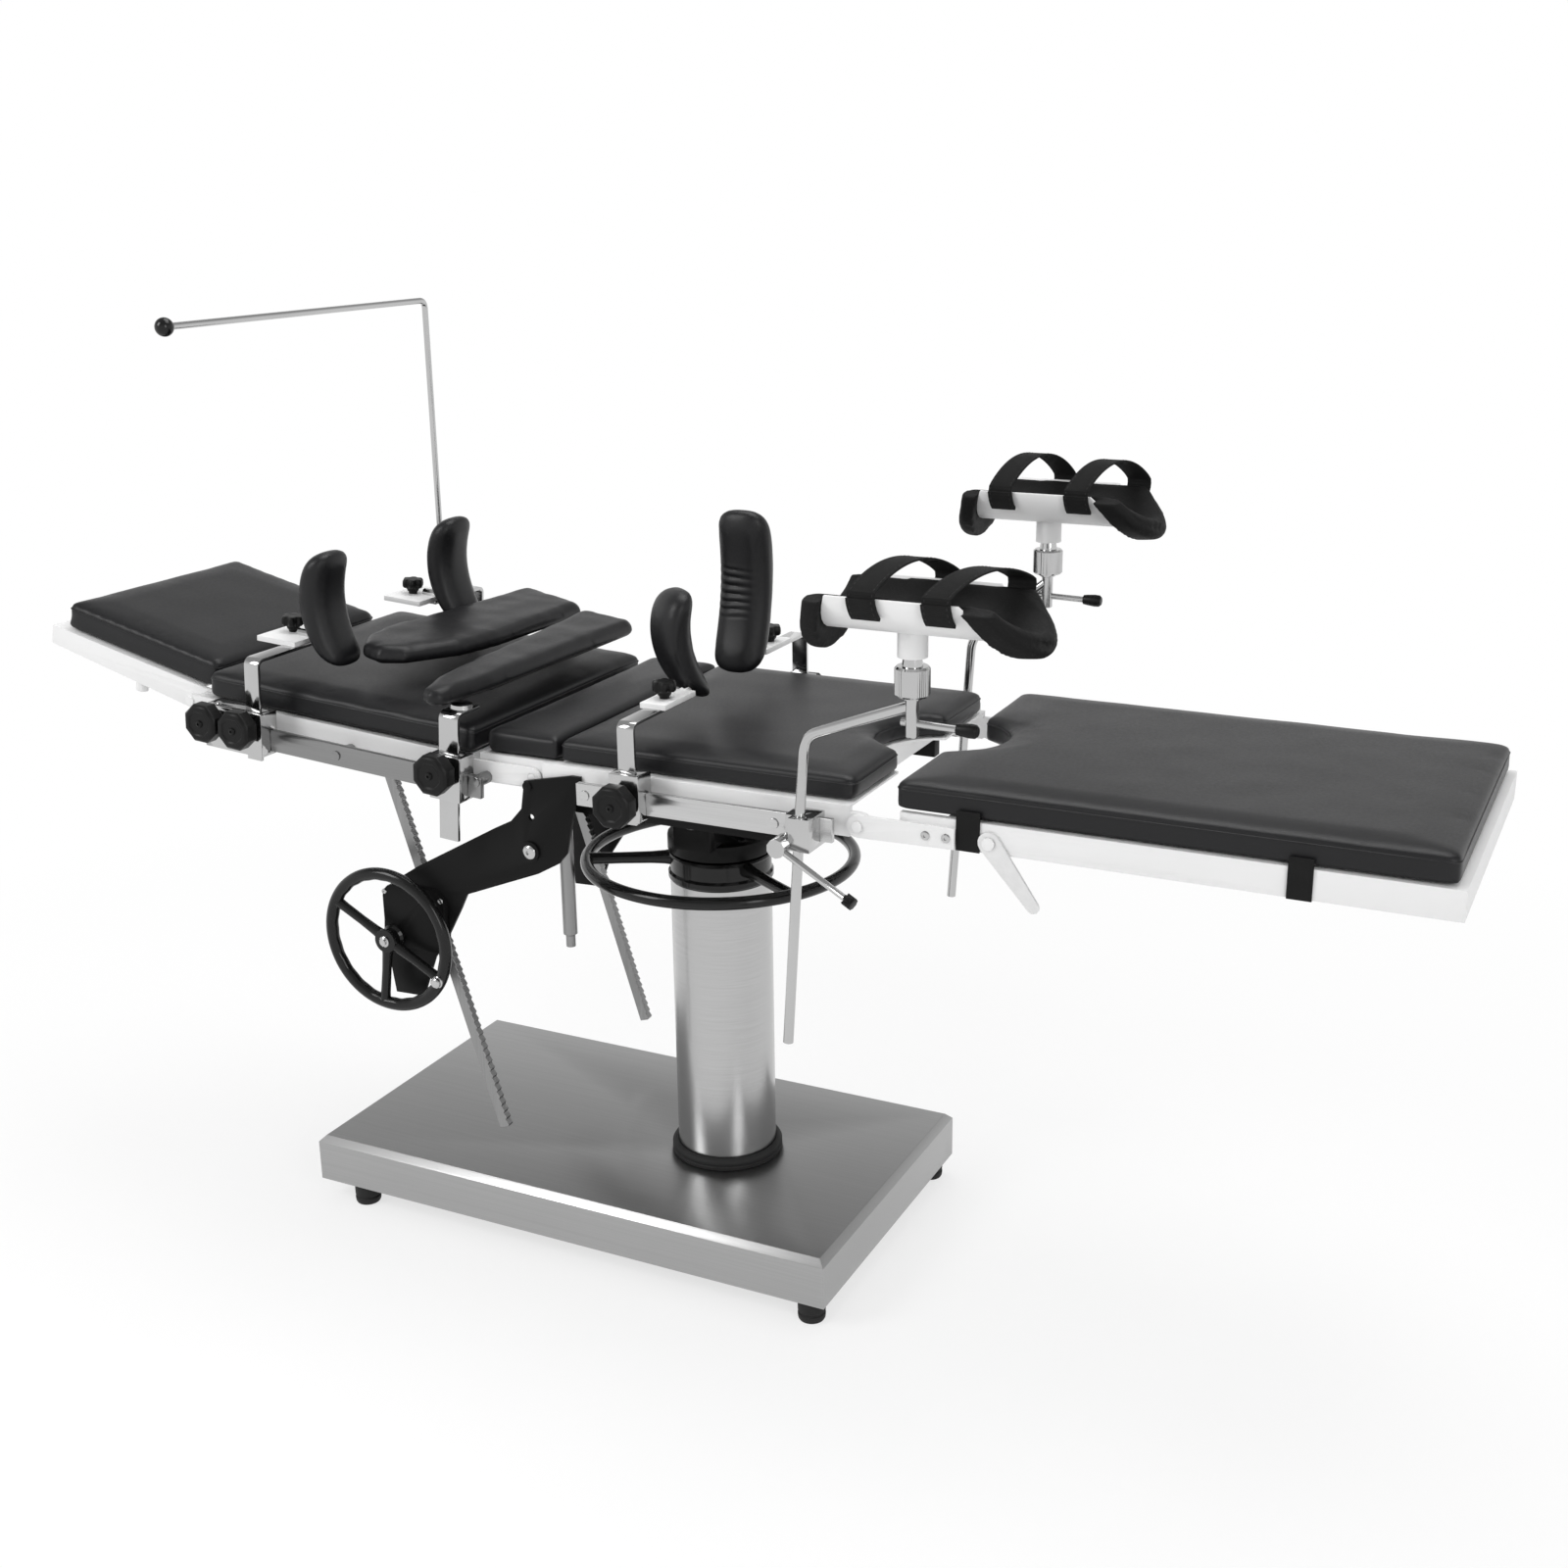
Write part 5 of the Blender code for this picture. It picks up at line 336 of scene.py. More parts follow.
def soften(piece, width=0.0, segments=2):
    """Round the sharp edges a little and shade the rest smooth."""
    if width:
        apply_modifier(piece, "BEVEL", width=width, segments=segments, limit_method="ANGLE",
                       angle_limit=math.radians(35.0), miter_outer="MITER_ARC")
    only(piece)
    bpy.ops.object.shade_smooth_by_angle(angle=math.radians(32.0))


def dress(piece, name, body, *finishes):
    """Name a piece, give it its materials and seat it on its body."""
    piece.name = name
    piece.data.name = name
    piece.data.materials.clear()
    for made in finishes:
        piece.data.materials.append(made)
    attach(piece, body)
    return piece


def copied(node):
    """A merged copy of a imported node, its flat faces made whole."""
    mesh = frame["nodes"][node].data.copy()
    piece = linked("copy", mesh)
    edit(piece)
    bpy.ops.mesh.customdata_custom_splitnormals_clear()
    bpy.ops.mesh.remove_doubles(threshold=MERGE)
    bpy.ops.mesh.dissolve_limited(angle_limit=math.radians(1.0))
    bpy.ops.mesh.select_all(action="DESELECT")
    settle()
    for face in mesh.polygons:
        face.material_index = 0
    return piece


def paint_where(piece, index, test):
    """Give the faces whose centre passes the test another of the piece's materials."""
    for face in piece.data.polygons:
        if test(face.center):
            face.material_index = index


def body_of(node):
    for body, members in frame["record"]["behaviour"]["bodies"].items():
        if node in members:
            return body
    return None


def kept_shape(node, made, width=0.0008, segments=2):
    """Replace a node by its softened copy."""
    piece = copied(node)
    soften(piece, width, segments)
    dress(piece, node + "_dressed", body_of(node), made)
    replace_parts(piece, node)
    return piece


def turned(profile, sides=64):
    """A round piece along Z at the origin from (radius, height) pairs."""
    radius, start = profile[0]
    bpy.ops.object.select_all(action="DESELECT")
    bpy.ops.mesh.primitive_circle_add(vertices=sides, radius=radius, fill_type="NGON",
                                      location=(0.0, 0.0, start))
    piece = bpy.context.object
    apply_place(piece)
    edit(piece)
    for (before, low), (after, high) in zip(profile, profile[1:]):
        bpy.ops.mesh.extrude_region_move(TRANSFORM_OT_translate={"value": (0.0, 0.0, high - low)})
        if after != before:
            share = after / before
            bpy.ops.transform.resize(value=(share, share, 1.0), center_override=(0.0, 0.0, high))
    bpy.ops.mesh.select_all(action="SELECT")
    bpy.ops.mesh.normals_make_consistent(inside=False)
    settle()
    return piece


def hollow(profile, sides=64):
    """A round wall along Z at the origin; the profile goes round its section once."""
    piece = turned(profile + profile[:1], sides)
    unselect(piece)
    for face in piece.data.polygons:
        face.select = len(face.vertices) == sides
    bpy.ops.object.mode_set(mode="EDIT")
    bpy.ops.mesh.delete(type="ONLY_FACE")
    bpy.ops.mesh.select_all(action="SELECT")
    bpy.ops.mesh.remove_doubles(threshold=MERGE)
    bpy.ops.mesh.normals_make_consistent(inside=False)
    settle()
    return piece


def aim(piece, place, direction):
    """Lay a piece made along Z at a place, pointing along a direction."""
    turn = Vector(direction).to_track_quat("Z", "Y")
    piece.matrix_world = Matrix.Translation(place) @ turn.to_matrix().to_4x4()
    apply_place(piece)
    return piece


def fitted(piece, name, body, made, place, axis):
    """Shade a piece made along Z, lay it in place and dress it."""
    soften(piece)
    return dress(aim(piece, place, axis), name, body, made)


def rounded_path(corners, bend, steps=10):
    """Points through the corners, each inner corner rounded to the bend's radius."""
    points = [Vector(corners[0])]
    for before, corner, after in zip(corners, corners[1:], corners[2:]):
        corner = Vector(corner)
        back = (Vector(before) - corner).normalized()
        forward = (Vector(after) - corner).normalized()
        start, end = corner + back * bend, corner + forward * bend
        for step in range(steps + 1):
            share = step / steps
            first = start.lerp(corner, share)
            points.append(first.lerp(corner.lerp(end, share), share))
    points.append(Vector(corners[-1]))
    return points


def bar(points, radius, end_radius=None, sides=10):
    """A round bar along points, its ends closed."""
    curve = bpy.data.curves.new("bar", "CURVE")
    curve.dimensions = "3D"
    curve.bevel_depth = 1.0
    curve.bevel_resolution = sides
    curve.use_fill_caps = True
    line = curve.splines.new("POLY")
    line.points.add(len(points) - 1)
    for index, point in enumerate(points):
        share = index / (len(points) - 1)
        line.points[index].co = (*point, 1.0)
        line.points[index].radius = radius + ((end_radius or radius) - radius) * share
    piece = linked("bar", curve)
    only(piece)
    bpy.ops.object.convert(target="MESH")
    edit(piece)
    bpy.ops.mesh.remove_doubles(threshold=0.000005)
    bpy.ops.mesh.normals_make_consistent(inside=False)
    settle()
    return piece


def ring_of(radius, tube, place, axis, around=128, across=24):
    """A round rim."""
    bpy.ops.object.select_all(action="DESELECT")
    bpy.ops.mesh.primitive_torus_add(major_segments=around, minor_segments=across, major_radius=radius,
                                     minor_radius=tube, location=(0.0, 0.0, 0.0))
    return aim(bpy.context.object, place, axis)


def draw_in(vertex, share):
    """Move a point towards the Z axis."""
    vertex.co.x *= share
    vertex.co.y *= share


def one(pieces):
    """Join pieces into the first."""
    only(pieces[0])
    for piece in pieces:
        piece.select_set(True)
    bpy.ops.object.join()
    return pieces[0]


def finger_rim(radius, tube, place, axis, grips):
    """A hand wheel's rim, waved on its inner side for the fingers."""
    piece = ring_of(radius, tube, Vector((0.0, 0.0, 0.0)), (0.0, 0.0, 1.0), 192, 20)
    for vertex in piece.data.vertices:
        reach = math.hypot(vertex.co.x, vertex.co.y)
        if reach < radius:
            depth = (radius - reach) / tube
            turn = math.atan2(vertex.co.y, vertex.co.x)
            draw_in(vertex, 1.0 - 0.1 * depth * tube / reach * (0.5 + 0.5 * math.cos(grips * turn)))
    return aim(piece, place, axis)


def screw(name, body, place, axis, radius=0.0062, height=0.003, finish=CHROME):
    """A domed screw head with a driver's recess."""
    piece = turned(((radius, -0.0005), (radius, height * 0.35), (radius * 0.86, height * 0.75),
                    (radius * 0.55, height), (radius * 0.34, height)), 24)
    unselect(piece)
    top = max(face.center.z for face in piece.data.polygons)
    for face in piece.data.polygons:
        face.select = face.center.z > top - MERGE and len(face.vertices) == 24
    bpy.ops.object.mode_set(mode="EDIT")
    bpy.ops.mesh.extrude_region_move(TRANSFORM_OT_translate={"value": (0.0, 0.0, -height * 0.6)})
    settle()
    return fitted(piece, name, body, finish, place, axis)


# Base and column
def make_base():
    kept_shape("base_cover", SHEET_STEEL, 0.0035, 4)
    kept_shape("base_chassis", IRON, 0.001)
    for end, x in (("head", -0.377), ("foot", 0.42)):
        for word, side in SIDES:
            foot = turned(((0.015, 0.0), (0.0185, 0.0012), (0.02, 0.004), (0.0205, 0.008),
                           (0.0205, 0.011), (0.0188, 0.0124), (0.0188, 0.0152), (0.0205, 0.0166),
                           (0.0205, 0.033), (0.02, 0.0347)), 40)
            node = "foot_" + end + "_" + word
            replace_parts(fitted(foot, node + "_moulded", "base", RUBBER, at(x, side * FOOT_Y, 0.0), UP), node)


def make_column():
    sleeve = hollow(((0.077, 0.1082), (0.077, 0.5685), (0.0756, 0.57), (0.0606, 0.57),
                     (0.0606, 0.1082)), 112)
    axis_foot = at(COLUMN_X, 0.0, 0.0)
    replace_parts(fitted(sleeve, "column_tube", "base", TUBE_STEEL, axis_foot, UP), "column_sleeve")
    ring = hollow(((0.0862, 0.1113), (0.087, 0.1122), (0.087, 0.1165), (0.0858, 0.1178), (0.0858, 0.1195),
                   (0.0868, 0.1206), (0.0868, 0.124), (0.085, 0.127), (0.0815, 0.1292), (0.0784, 0.1293),
                   (0.0774, 0.1285), (0.0774, 0.1113)), 112)
    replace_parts(fitted(ring, "column_gasket", "base", RUBBER, axis_foot, UP), "column_ring")
    kept_shape("lift_column", BLACK_PAINT, 0.0009)
    kept_shape("pitch_block", BLACK_PAINT, 0.0012)
    make_lift_wheel()
    for word, side in SIDES:
        eye = turned(((0.02, 0.0), (0.02, 0.003), (0.018, 0.0045), (0.01, 0.0045), (0.01, 0.008),
                      (0.0085, 0.0095), (0.003, 0.0095)), 40)
        fitted(eye, "pitch_eye_" + word, "lift", RACK_STEEL, at(COLUMN_X, side * 0.0903, 0.69), (0, side, 0))


def make_lift_wheel():
    centre = at(COLUMN_X, 0.0, LIFT_WHEEL_Z)
    rim = ring_of(0.2025, 0.0095, centre, UP, 160, 24)
    hub = hollow(((0.078, 0.5705), (0.08, 0.5725), (0.08, 0.58), (0.077, 0.584), (0.077, 0.606),
                  (0.0795, 0.609), (0.078, 0.6118), (0.062, 0.6118), (0.0608, 0.6105),
                  (0.0608, 0.5705)), 96)
    aim(hub, at(COLUMN_X, 0.0, 0.0), UP)
    pieces = [rim, hub]
    for angle in (208.0, 328.0, 88.0):
        turn = math.radians(angle)
        along = Vector((math.cos(turn), math.sin(turn), 0.0))
        spoke = turned(((0.0125, 0.074), (0.0105, 0.084), (0.0092, 0.105), (0.0086, 0.15), (0.009, 0.185),
                        (0.0093, 0.201)), 28)
        pieces.append(aim(spoke, centre, along))
    wheel = one(pieces)
    soften(wheel)
    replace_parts(dress(wheel, "lift_hand_wheel", "lift_wheel", GLOSS_BLACK), "lift_wheel")


def make_side_wheel():
    centre, outwards = at(SIDE_WHEEL_X, -0.2865, SIDE_WHEEL_Z), (0, -1, 0)
    rim = finger_rim(SIDE_WHEEL_RADIUS, 0.0093, centre, outwards, 24)
    hub = turned(((0.019, 0.0003), (0.019, 0.006), (0.016, 0.01), (0.0165, 0.02), (0.019, 0.023),
                  (0.018, 0.0258), (0.012, 0.0263)), 48)
    aim(hub, at(SIDE_WHEEL_X, -0.269, SIDE_WHEEL_Z), outwards)
    pieces = [rim, hub]
    for angle in (152.0, 332.0, 262.0):
        turn = math.radians(angle)
        along = Vector((math.cos(turn), 0.0, math.sin(turn)))
        spoke = turned(((0.0088, 0.012), (0.0078, 0.024), (0.007, 0.05), (0.0072, 0.085),
                        (0.0082, 0.101)), 24)
        pieces.append(aim(spoke, centre, along))
    wheel = one(pieces)
    soften(wheel)
    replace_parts(dress(wheel, "side_hand_wheel", "side_wheel", GLOSS_BLACK), "side_wheel")
    cap = turned(((0.0085, 0.0), (0.0085, 0.0022), (0.0068, 0.0034), (0.0052, 0.0034), (0.005, 0.0058),
                  (0.003, 0.0064)), 32)
    place = at(SIDE_WHEEL_X, -0.2951, SIDE_WHEEL_Z)
    fitted(cap, "wheel_nut", "side_wheel", CHROME, place, outwards)
    turn = math.radians(332.0)
    place = at(SIDE_WHEEL_X + SIDE_WHEEL_RADIUS * math.cos(turn), -0.2945,
               SIDE_WHEEL_Z + SIDE_WHEEL_RADIUS * math.sin(turn))
    stud = turned(((0.0092, 0.0), (0.0092, 0.002), (0.0078, 0.0034), (0.0078, 0.0072), (0.006, 0.0088)), 32)
    fitted(stud, "wheel_stud", "side_wheel", CHROME, place, outwards)


# Frames, rails and plates
def make_frames():
    for node, width in (("seat_frame", 0.001), ("back_frame", 0.001), ("leg_frame", 0.0012),
                        ("head_frame", 0.001)):
        kept_shape(node, WHITE_PAINT, width)
    kept_shape("seat_subframe", BLACK_PAINT, 0.0012)
    kept_shape("bridge_frame", RACK_STEEL, 0.0008)
    kept_shape("pinion_shaft", RACK_STEEL, 0.0003)
    kept_shape("leg_lever", LEVER_STEEL, 0.001)
    for word, side in SIDES:
        kept_shape("seat_rail_" + word, RAIL_STEEL, 0.001)
        # The back rails take the darker rail steel as painted shade
        kept_shape("back_rail_" + word, SHADED_RAIL_STEEL, 0.001)
        kept_shape("arm_plate_" + word, BLACK_PAINT, 0.0008)
        kept_shape("rack_" + word, RACK_STEEL, 0.0004, 1)
        for index, x in enumerate((0.601, 0.629)):
            screw("leg_hinge_screw_%s_%d" % (word, index), "leg", at(x, side * 0.2585, 0.7762), (0, side, 0))
        screw("arm_plate_pin_" + word, "seat", at(-0.002, side * 0.2638, 0.667), (0, side, 0), 0.0105, 0.004)
    for index, (x, z) in enumerate(((-0.262, 0.569), (-0.16, 0.569), (-0.16, 0.493))):
        screw("gear_case_screw_%d" % index, "seat", at(x, -0.269, z), (0, -1, 0), 0.0042, 0.0022)


# Rail clamps and posts
def dish(piece, test, inset, depth):
    """Sink the faces that pass the test into a shallow dish."""
    only(piece)
    bpy.ops.object.mode_set(mode="EDIT")
    bpy.ops.mesh.select_mode(type="FACE")
    unselect(piece)
    for face in piece.data.polygons:
        face.select = test(face)
    bpy.ops.object.mode_set(mode="EDIT")
    bpy.ops.mesh.inset(thickness=inset, depth=0.0)
    bpy.ops.mesh.inset(thickness=inset * 0.4, depth=-depth)
    settle()


def make_clamp(node):
    """A chrome clamp with black eight-sided knobs, each dished and held by a screw."""
    piece = copied(node)
    side = -1 if node.endswith("near") else 1
    outer = max(abs(vertex.co.y) for vertex in piece.data.vertices)

    def knob_end(face):
        return abs(face.center.y) > outer - 0.0002 and face.area > 0.001

    heads = [face.center.copy() for face in piece.data.polygons if knob_end(face)]
    dish(piece, knob_end, 0.006, 0.0016)
    soften(piece, 0.0012)
    dress(piece, node + "_dressed", body_of(node), CHROME, KNOB_BLACK)
    paint_where(piece, 1, lambda centre: abs(centre.y) > 0.311)
    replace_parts(piece, node)
    for index, centre in enumerate(heads):
        place = Vector((centre.x, side * (outer - 0.0016), centre.z))
        screw("%s_screw_%d" % (node, index), body_of(node), place, (0, side, 0), 0.0055, 0.003, KNOB_BLACK)


def section_turn(degrees):
    """From a level section to its resting angle about the back hinge."""
    hinge = at(0.0, 0.0, HINGE_Z)
    turn = Matrix.Rotation(math.radians(degrees), 4, "Y")
    return Matrix.Translation(hinge) @ turn @ Matrix.Translation(-hinge)


def star_knob(name, body, place, section):
    """A black six-lobed knob on its neck, standing on a plate."""
    piece = turned(((0.0068, -0.001), (0.0072, 0.003), (0.0092, 0.005), (0.0104, 0.008), (0.0112, 0.01),
                    (0.016, 0.0108), (0.0178, 0.013), (0.0182, 0.017), (0.0178, 0.022), (0.016, 0.0248),
                    (0.011, 0.0256), (0.006, 0.025)), 72)
    for vertex in piece.data.vertices:
        if vertex.co.z > 0.0102:
            turn = math.atan2(vertex.co.y, vertex.co.x)
            draw_in(vertex, 1.0 - 0.22 * (0.5 - 0.5 * math.cos(6 * turn)) ** 1.5)
    soften(piece)
    piece.matrix_world = section @ Matrix.Translation(place)
    apply_place(piece)
    return dress(piece, name, body, KNOB_BLACK)


def make_post(node, section, post_top, knob):
    """A flat chrome post; where it carries a knob, its plate is white and the knob is made anew."""
    piece = copied(node)
    level = section.inverted()
    if knob:
        place, plate_top = at(knob[0], knob[1], post_top + 0.007), post_top + 0.007
        unselect(piece)
        for vertex in piece.data.vertices:
            spot = level @ vertex.co
            off = math.hypot(spot.x - place.x, spot.y - place.y)
            vertex.select = spot.z > plate_top + 0.0005 and off < 0.018
        bpy.ops.object.mode_set(mode="EDIT")
        bpy.ops.mesh.delete(type="VERT")
        settle()
        star_knob(node + "_knob", body_of(node), place, section)
    soften(piece, 0.0008)
    dress(piece, node + "_dressed", body_of(node), CHROME, WHITE_PAINT)
    if knob:
        paint_where(piece, 1, lambda centre: post_top + 0.0001 < (level @ centre).z < post_top + 0.0085)
    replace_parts(piece, node)


def make_accessories():
    level, raised = section_turn(0.0), section_turn(BACK_RISE)
    for word, side in SIDES:
        for place in ("shoulder", "hip", "arm"):
            make_clamp(place + "_clamp_" + word)
        make_post("shoulder_post_" + word, raised, 0.879, (-0.5, side * 0.152))
        make_post("hip_post_" + word, level, 0.886, (0.18 if side < 0 else HIP_FAR_X, side * 0.181))
        make_post("arm_post_" + word, raised, 0.86, None)
        make_stirrup_clamp(word, side)
        make_stirrup_rod(word, side)


def make_stirrup_clamp(word, side):
    """The rod's clamp, with the black grip on its tightening lever."""
    node = "stirrup_clamp_" + word
    piece = copied(node)
    soften(piece, 0.0008)
    dress(piece, node + "_dressed", "seat", CHROME, KNOB_BLACK)
    tip = at(0.5275, side * 0.3445, 0.7088)
    paint_where(piece, 1, lambda centre: (centre - tip).length < 0.0155)
    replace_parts(piece, node)


STIRRUPS = {"near": (0.16, 0.065), "far": (0.108, 0.088)}


def stirrup_line(height):
    run = (height - 0.7548 - 0.01625) * math.tan(math.radians(3.7))
    return Vector((0.4425 + run - MIDDLE_X, 0.3, height))


def stirrup_stem(word, side):
    reach, rise = STIRRUPS[word]
    stem = stirrup_line(0.902) + Vector((reach, 0.03, rise))
    return Vector((stem.x, side * stem.y, stem.z))


def make_stirrup_rod(word, side):
    """A bent rod, its fork's stem, knurled nut, cone and lever."""
    stem = stirrup_stem(word, side)
    foot, start = stirrup_line(0.4705), stirrup_line(0.902)
    foot.y *= side
    start.y *= side
    rod = bar(rounded_path((foot, start, stem), 0.024), 0.007)
    stem_top = stem.z + 0.012
    post = turned(((0.007, -0.04), (0.0085, -0.0385), (0.0085, 0.0075), (0.0118, 0.0085), (0.0118, 0.012),
                   (0.015, 0.0124)), 48)
    aim(post, stem, UP)
    knurl = turned(((0.019, 0.0), (0.022, 0.0028), (0.022, 0.035), (0.0195, 0.0378),
                    (0.0125, 0.038)), 96)
    for index, vertex in enumerate(knurl.data.vertices):
        reach = math.hypot(vertex.co.x, vertex.co.y)
        if reach > 0.0215:
            draw_in(vertex, 1.0 - 0.025 * (index % 2))
    aim(knurl, Vector((stem.x, stem.y, stem_top)), UP)
    cone = turned(((0.013, 0.0378), (0.0126, 0.042), (0.0104, 0.056), (0.009, 0.064)), 48)
    aim(cone, Vector((stem.x, stem.y, stem_top)), UP)
    lever_z = stem.z - 0.022
    ends = ((stem.x - 0.014, stem.y, lever_z + 0.0003), (stem.x + 0.08, stem.y, lever_z - 0.002))
    lever = bar(ends, 0.0045)
    piece = one([rod, post, knurl, cone, lever])
    soften(piece)
    node = "stirrup_rod_" + word
    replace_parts(dress(piece, node + "_bent", "stirrup_" + word, CHROME), node)
    grip = turned(((0.005, 0.0), (0.007, 0.001), (0.0078, 0.006), (0.009, 0.018), (0.0086, 0.025),
                   (0.006, 0.028)), 32)
    fitted(grip, "stirrup_grip_" + word, "stirrup_" + word, KNOB_BLACK,
           (stem.x + 0.0572, stem.y, lever_z - 0.0012), (1, 0, -0.02))


def make_screen():
    low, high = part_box("screen_rod")
    x = (low.x + high.x) / 2
    top = high.z - 0.014
    end_y = 0.29 - 0.6
    rod = bar(rounded_path(((x, 0.29, low.z), (x, 0.29, top), (x, end_y, top)), 0.014), 0.005)
    soften(rod)
    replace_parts(dress(rod, "screen_bar", "screen", CHROME), "screen_rod")
    bpy.ops.object.select_all(action="DESELECT")
    bpy.ops.mesh.primitive_uv_sphere_add(segments=40, ring_count=24, radius=0.0135)
    ball = bpy.context.object
    edit(ball)
    bpy.ops.mesh.bisect(plane_co=(0, 0, -0.0118), plane_no=(0, 0, 1), use_fill=True, clear_inner=True)
    settle()
    fitted(ball, "screen_ball", "screen", GLOSS_BLACK, (x, end_y - 0.007, top), (0, -1, 0))


# Stirrup cups, linings and straps
CUP_LENGTH = 0.235
SHELL_HALF_WIDTH, SHELL_DEPTH = 0.074, 0.058
LINING_REACH, LINING_STEPS = 82.0, 22


def cup_frame(word, side):
    """Centre of a cup's gutter and its lowest x."""
    stem = stirrup_stem(word, side)
    shell_bottom = stem.z + 0.012 + 0.038 + 0.026 + 0.015
    low_x = stem.x - CUP_LENGTH * 0.43
    return Vector((low_x + CUP_LENGTH / 2, stem.y, shell_bottom + SHELL_DEPTH)), low_x


def tube_faces(rows, count):
    """Faces round a tube of rings, with one face over each end."""
    faces = []
    for row in range(rows - 1):
        for index in range(count):
            following = (index + 1) % count
            faces.append((row * count + index, row * count + following,
                          (row + 1) * count + following, (row + 1) * count + index))
    return faces + [tuple(range(count)), tuple(range((rows - 1) * count, rows * count))]


def gutter(centre, stations):
    """A thick curved pad along X from (x, outer depth at the sides, the same below, inner depth) stations."""
    outline = []
    for outer in (True, False):
        for step in range(LINING_STEPS + 1):
            share = 2 * step / LINING_STEPS - 1
            outline.append((math.radians(-90.0 + LINING_REACH * (share if outer else -share)), outer))
    points = []
    for x, side_depth, low_depth, inner_depth in stations:
        for turn, outer in outline:
            across = side_depth if outer else inner_depth
            below = low_depth if outer else inner_depth
            lean = (math.sin(turn) + 1.0) * (0.01925 if x < centre.x else -0.055)
            points.append((x + lean, centre.y + (SHELL_HALF_WIDTH - across) * math.cos(turn),
                           centre.z + (SHELL_DEPTH - below) * math.sin(turn)))
    return from_points(points, tube_faces(len(stations), len(outline)))


def from_points(points, faces):
    mesh = bpy.data.meshes.new("shape")
    mesh.from_pydata([tuple(point) for point in points], [], faces)
    piece = linked("shape", mesh)
    face_out(piece)
    return piece


def make_lining(word, side):
    """The padded black lining of a cup, with a thick roll hanging over each of its ends."""
    centre, low_x = cup_frame(word, side)
    high_x = low_x + CUP_LENGTH
    stations = [(low_x - 0.0285, -0.002, -0.018, 0.006), (low_x - 0.0255, -0.0075, -0.0245, 0.011),
                (low_x - 0.019, -0.0105, -0.0285, 0.014), (low_x - 0.0028, -0.01, -0.0285, 0.015),
                (low_x - 0.0017, 0.0048, 0.0048, 0.015)]
    stations += [(low_x + CUP_LENGTH * index / 12, 0.0048, 0.0048, 0.015) for index in range(1, 12)]
    stations += [(high_x + 0.0017, 0.0048, 0.0048, 0.015), (high_x + 0.0028, -0.01, -0.0165, 0.015),
                 (high_x + 0.033, -0.0105, -0.0165, 0.014), (high_x + 0.039, -0.0075, -0.0125, 0.011),
                 (high_x + 0.0425, -0.002, -0.007, 0.006)]
    piece = gutter(centre, stations)
    padded(piece, 0.003, 0.001, 0.002, ALL_ROUND)
    dress(piece, "stirrup_lining_" + word, "cup_" + word, LINING)
    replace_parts(piece, "stirrup_liner_" + word)
    return centre, low_x


STRAP_WIDTH, STRAP_THICKNESS = 0.036, 0.0026
STRAP_SKEW, STRAP_HALF_SPAN = 0.025, 0.075
STITCH_PITCH, STITCH_SHARE, STITCH_RADIUS = 0.0052, 0.26, 0.00035


def strap_drift(y):
    """How far a band lies to the foot end, growing from its near to its far end."""
    return STRAP_SKEW * max(-1.0, min(1.0, y / STRAP_HALF_SPAN))


def off_line(before, after):
    """The direction that stands off a (y, z) line."""
    along = Vector((0.0, after[0] - before[0], after[1] - before[1])).normalized()
    return Vector((0.0, -along.z, along.y))


def strap_line(rise):
    """A band's run in (y, z): up outside the near rim, in a low arch over the cup, down at the far rim."""
    wrapped = [(0.0652, -0.029), (0.069, -0.0235), (0.0718, -0.0175), (0.074, -0.0105), (0.075, -0.004)]
    line = [(-across, height) for across, height in wrapped]
    for step in range(25):
        share = step / 24
        straight, curved = 2 * share - 1, -math.cos(math.pi * share)
        line.append((0.0742 * (0.85 * straight + 0.15 * curved),
                     0.0015 + rise * math.sin(math.pi * share) ** 0.9))
    return line + [(across, height) for across, height in reversed(wrapped)]


def band_of(line, place, width, lift):
    """A flat band along a (y, z) line, standing off it by lift."""
    points = []
    for index, (y, z) in enumerate(line):
        normal = off_line(line[max(index - 1, 0)], line[min(index + 1, len(line) - 1)])
        for across, height in ((0.0, 0.0), (0.5, 0.0), (1.0, 0.0), (1.0, 1.0), (0.5, 1.0), (0.0, 1.0)):
            spot = place + Vector((strap_drift(y) + width * (across - 0.5), y, z))
            points.append(spot + normal * (lift + STRAP_THICKNESS * height))
    band = from_points(points, tube_faces(len(line), 6))
    apply_modifier(band, "BEVEL", width=STRAP_THICKNESS * 0.3, segments=2, limit_method="ANGLE",
                   angle_limit=math.radians(50.0))
    return band


def stitches(line, place, across, lift):
    """A row of short raised stitches along a band."""
    pieces = []
    for (y, z), (next_y, next_z) in zip(line, line[1:]):
        normal = off_line((y, z), (next_y, next_z))
        count = max(1, round(math.hypot(next_y - y, next_z - z) / STITCH_PITCH))
        for index in range(count):
            ends = []
            for shift in (-STITCH_SHARE, STITCH_SHARE):
                share = (index + 0.5 + shift) / count
                here_y = y + (next_y - y) * share
                spot = Vector((strap_drift(here_y) + across, here_y, z + (next_z - z) * share))
                ends.append(place + spot + normal * lift)
            pieces.append(bar(ends, STITCH_RADIUS, sides=1))
    return one(pieces)


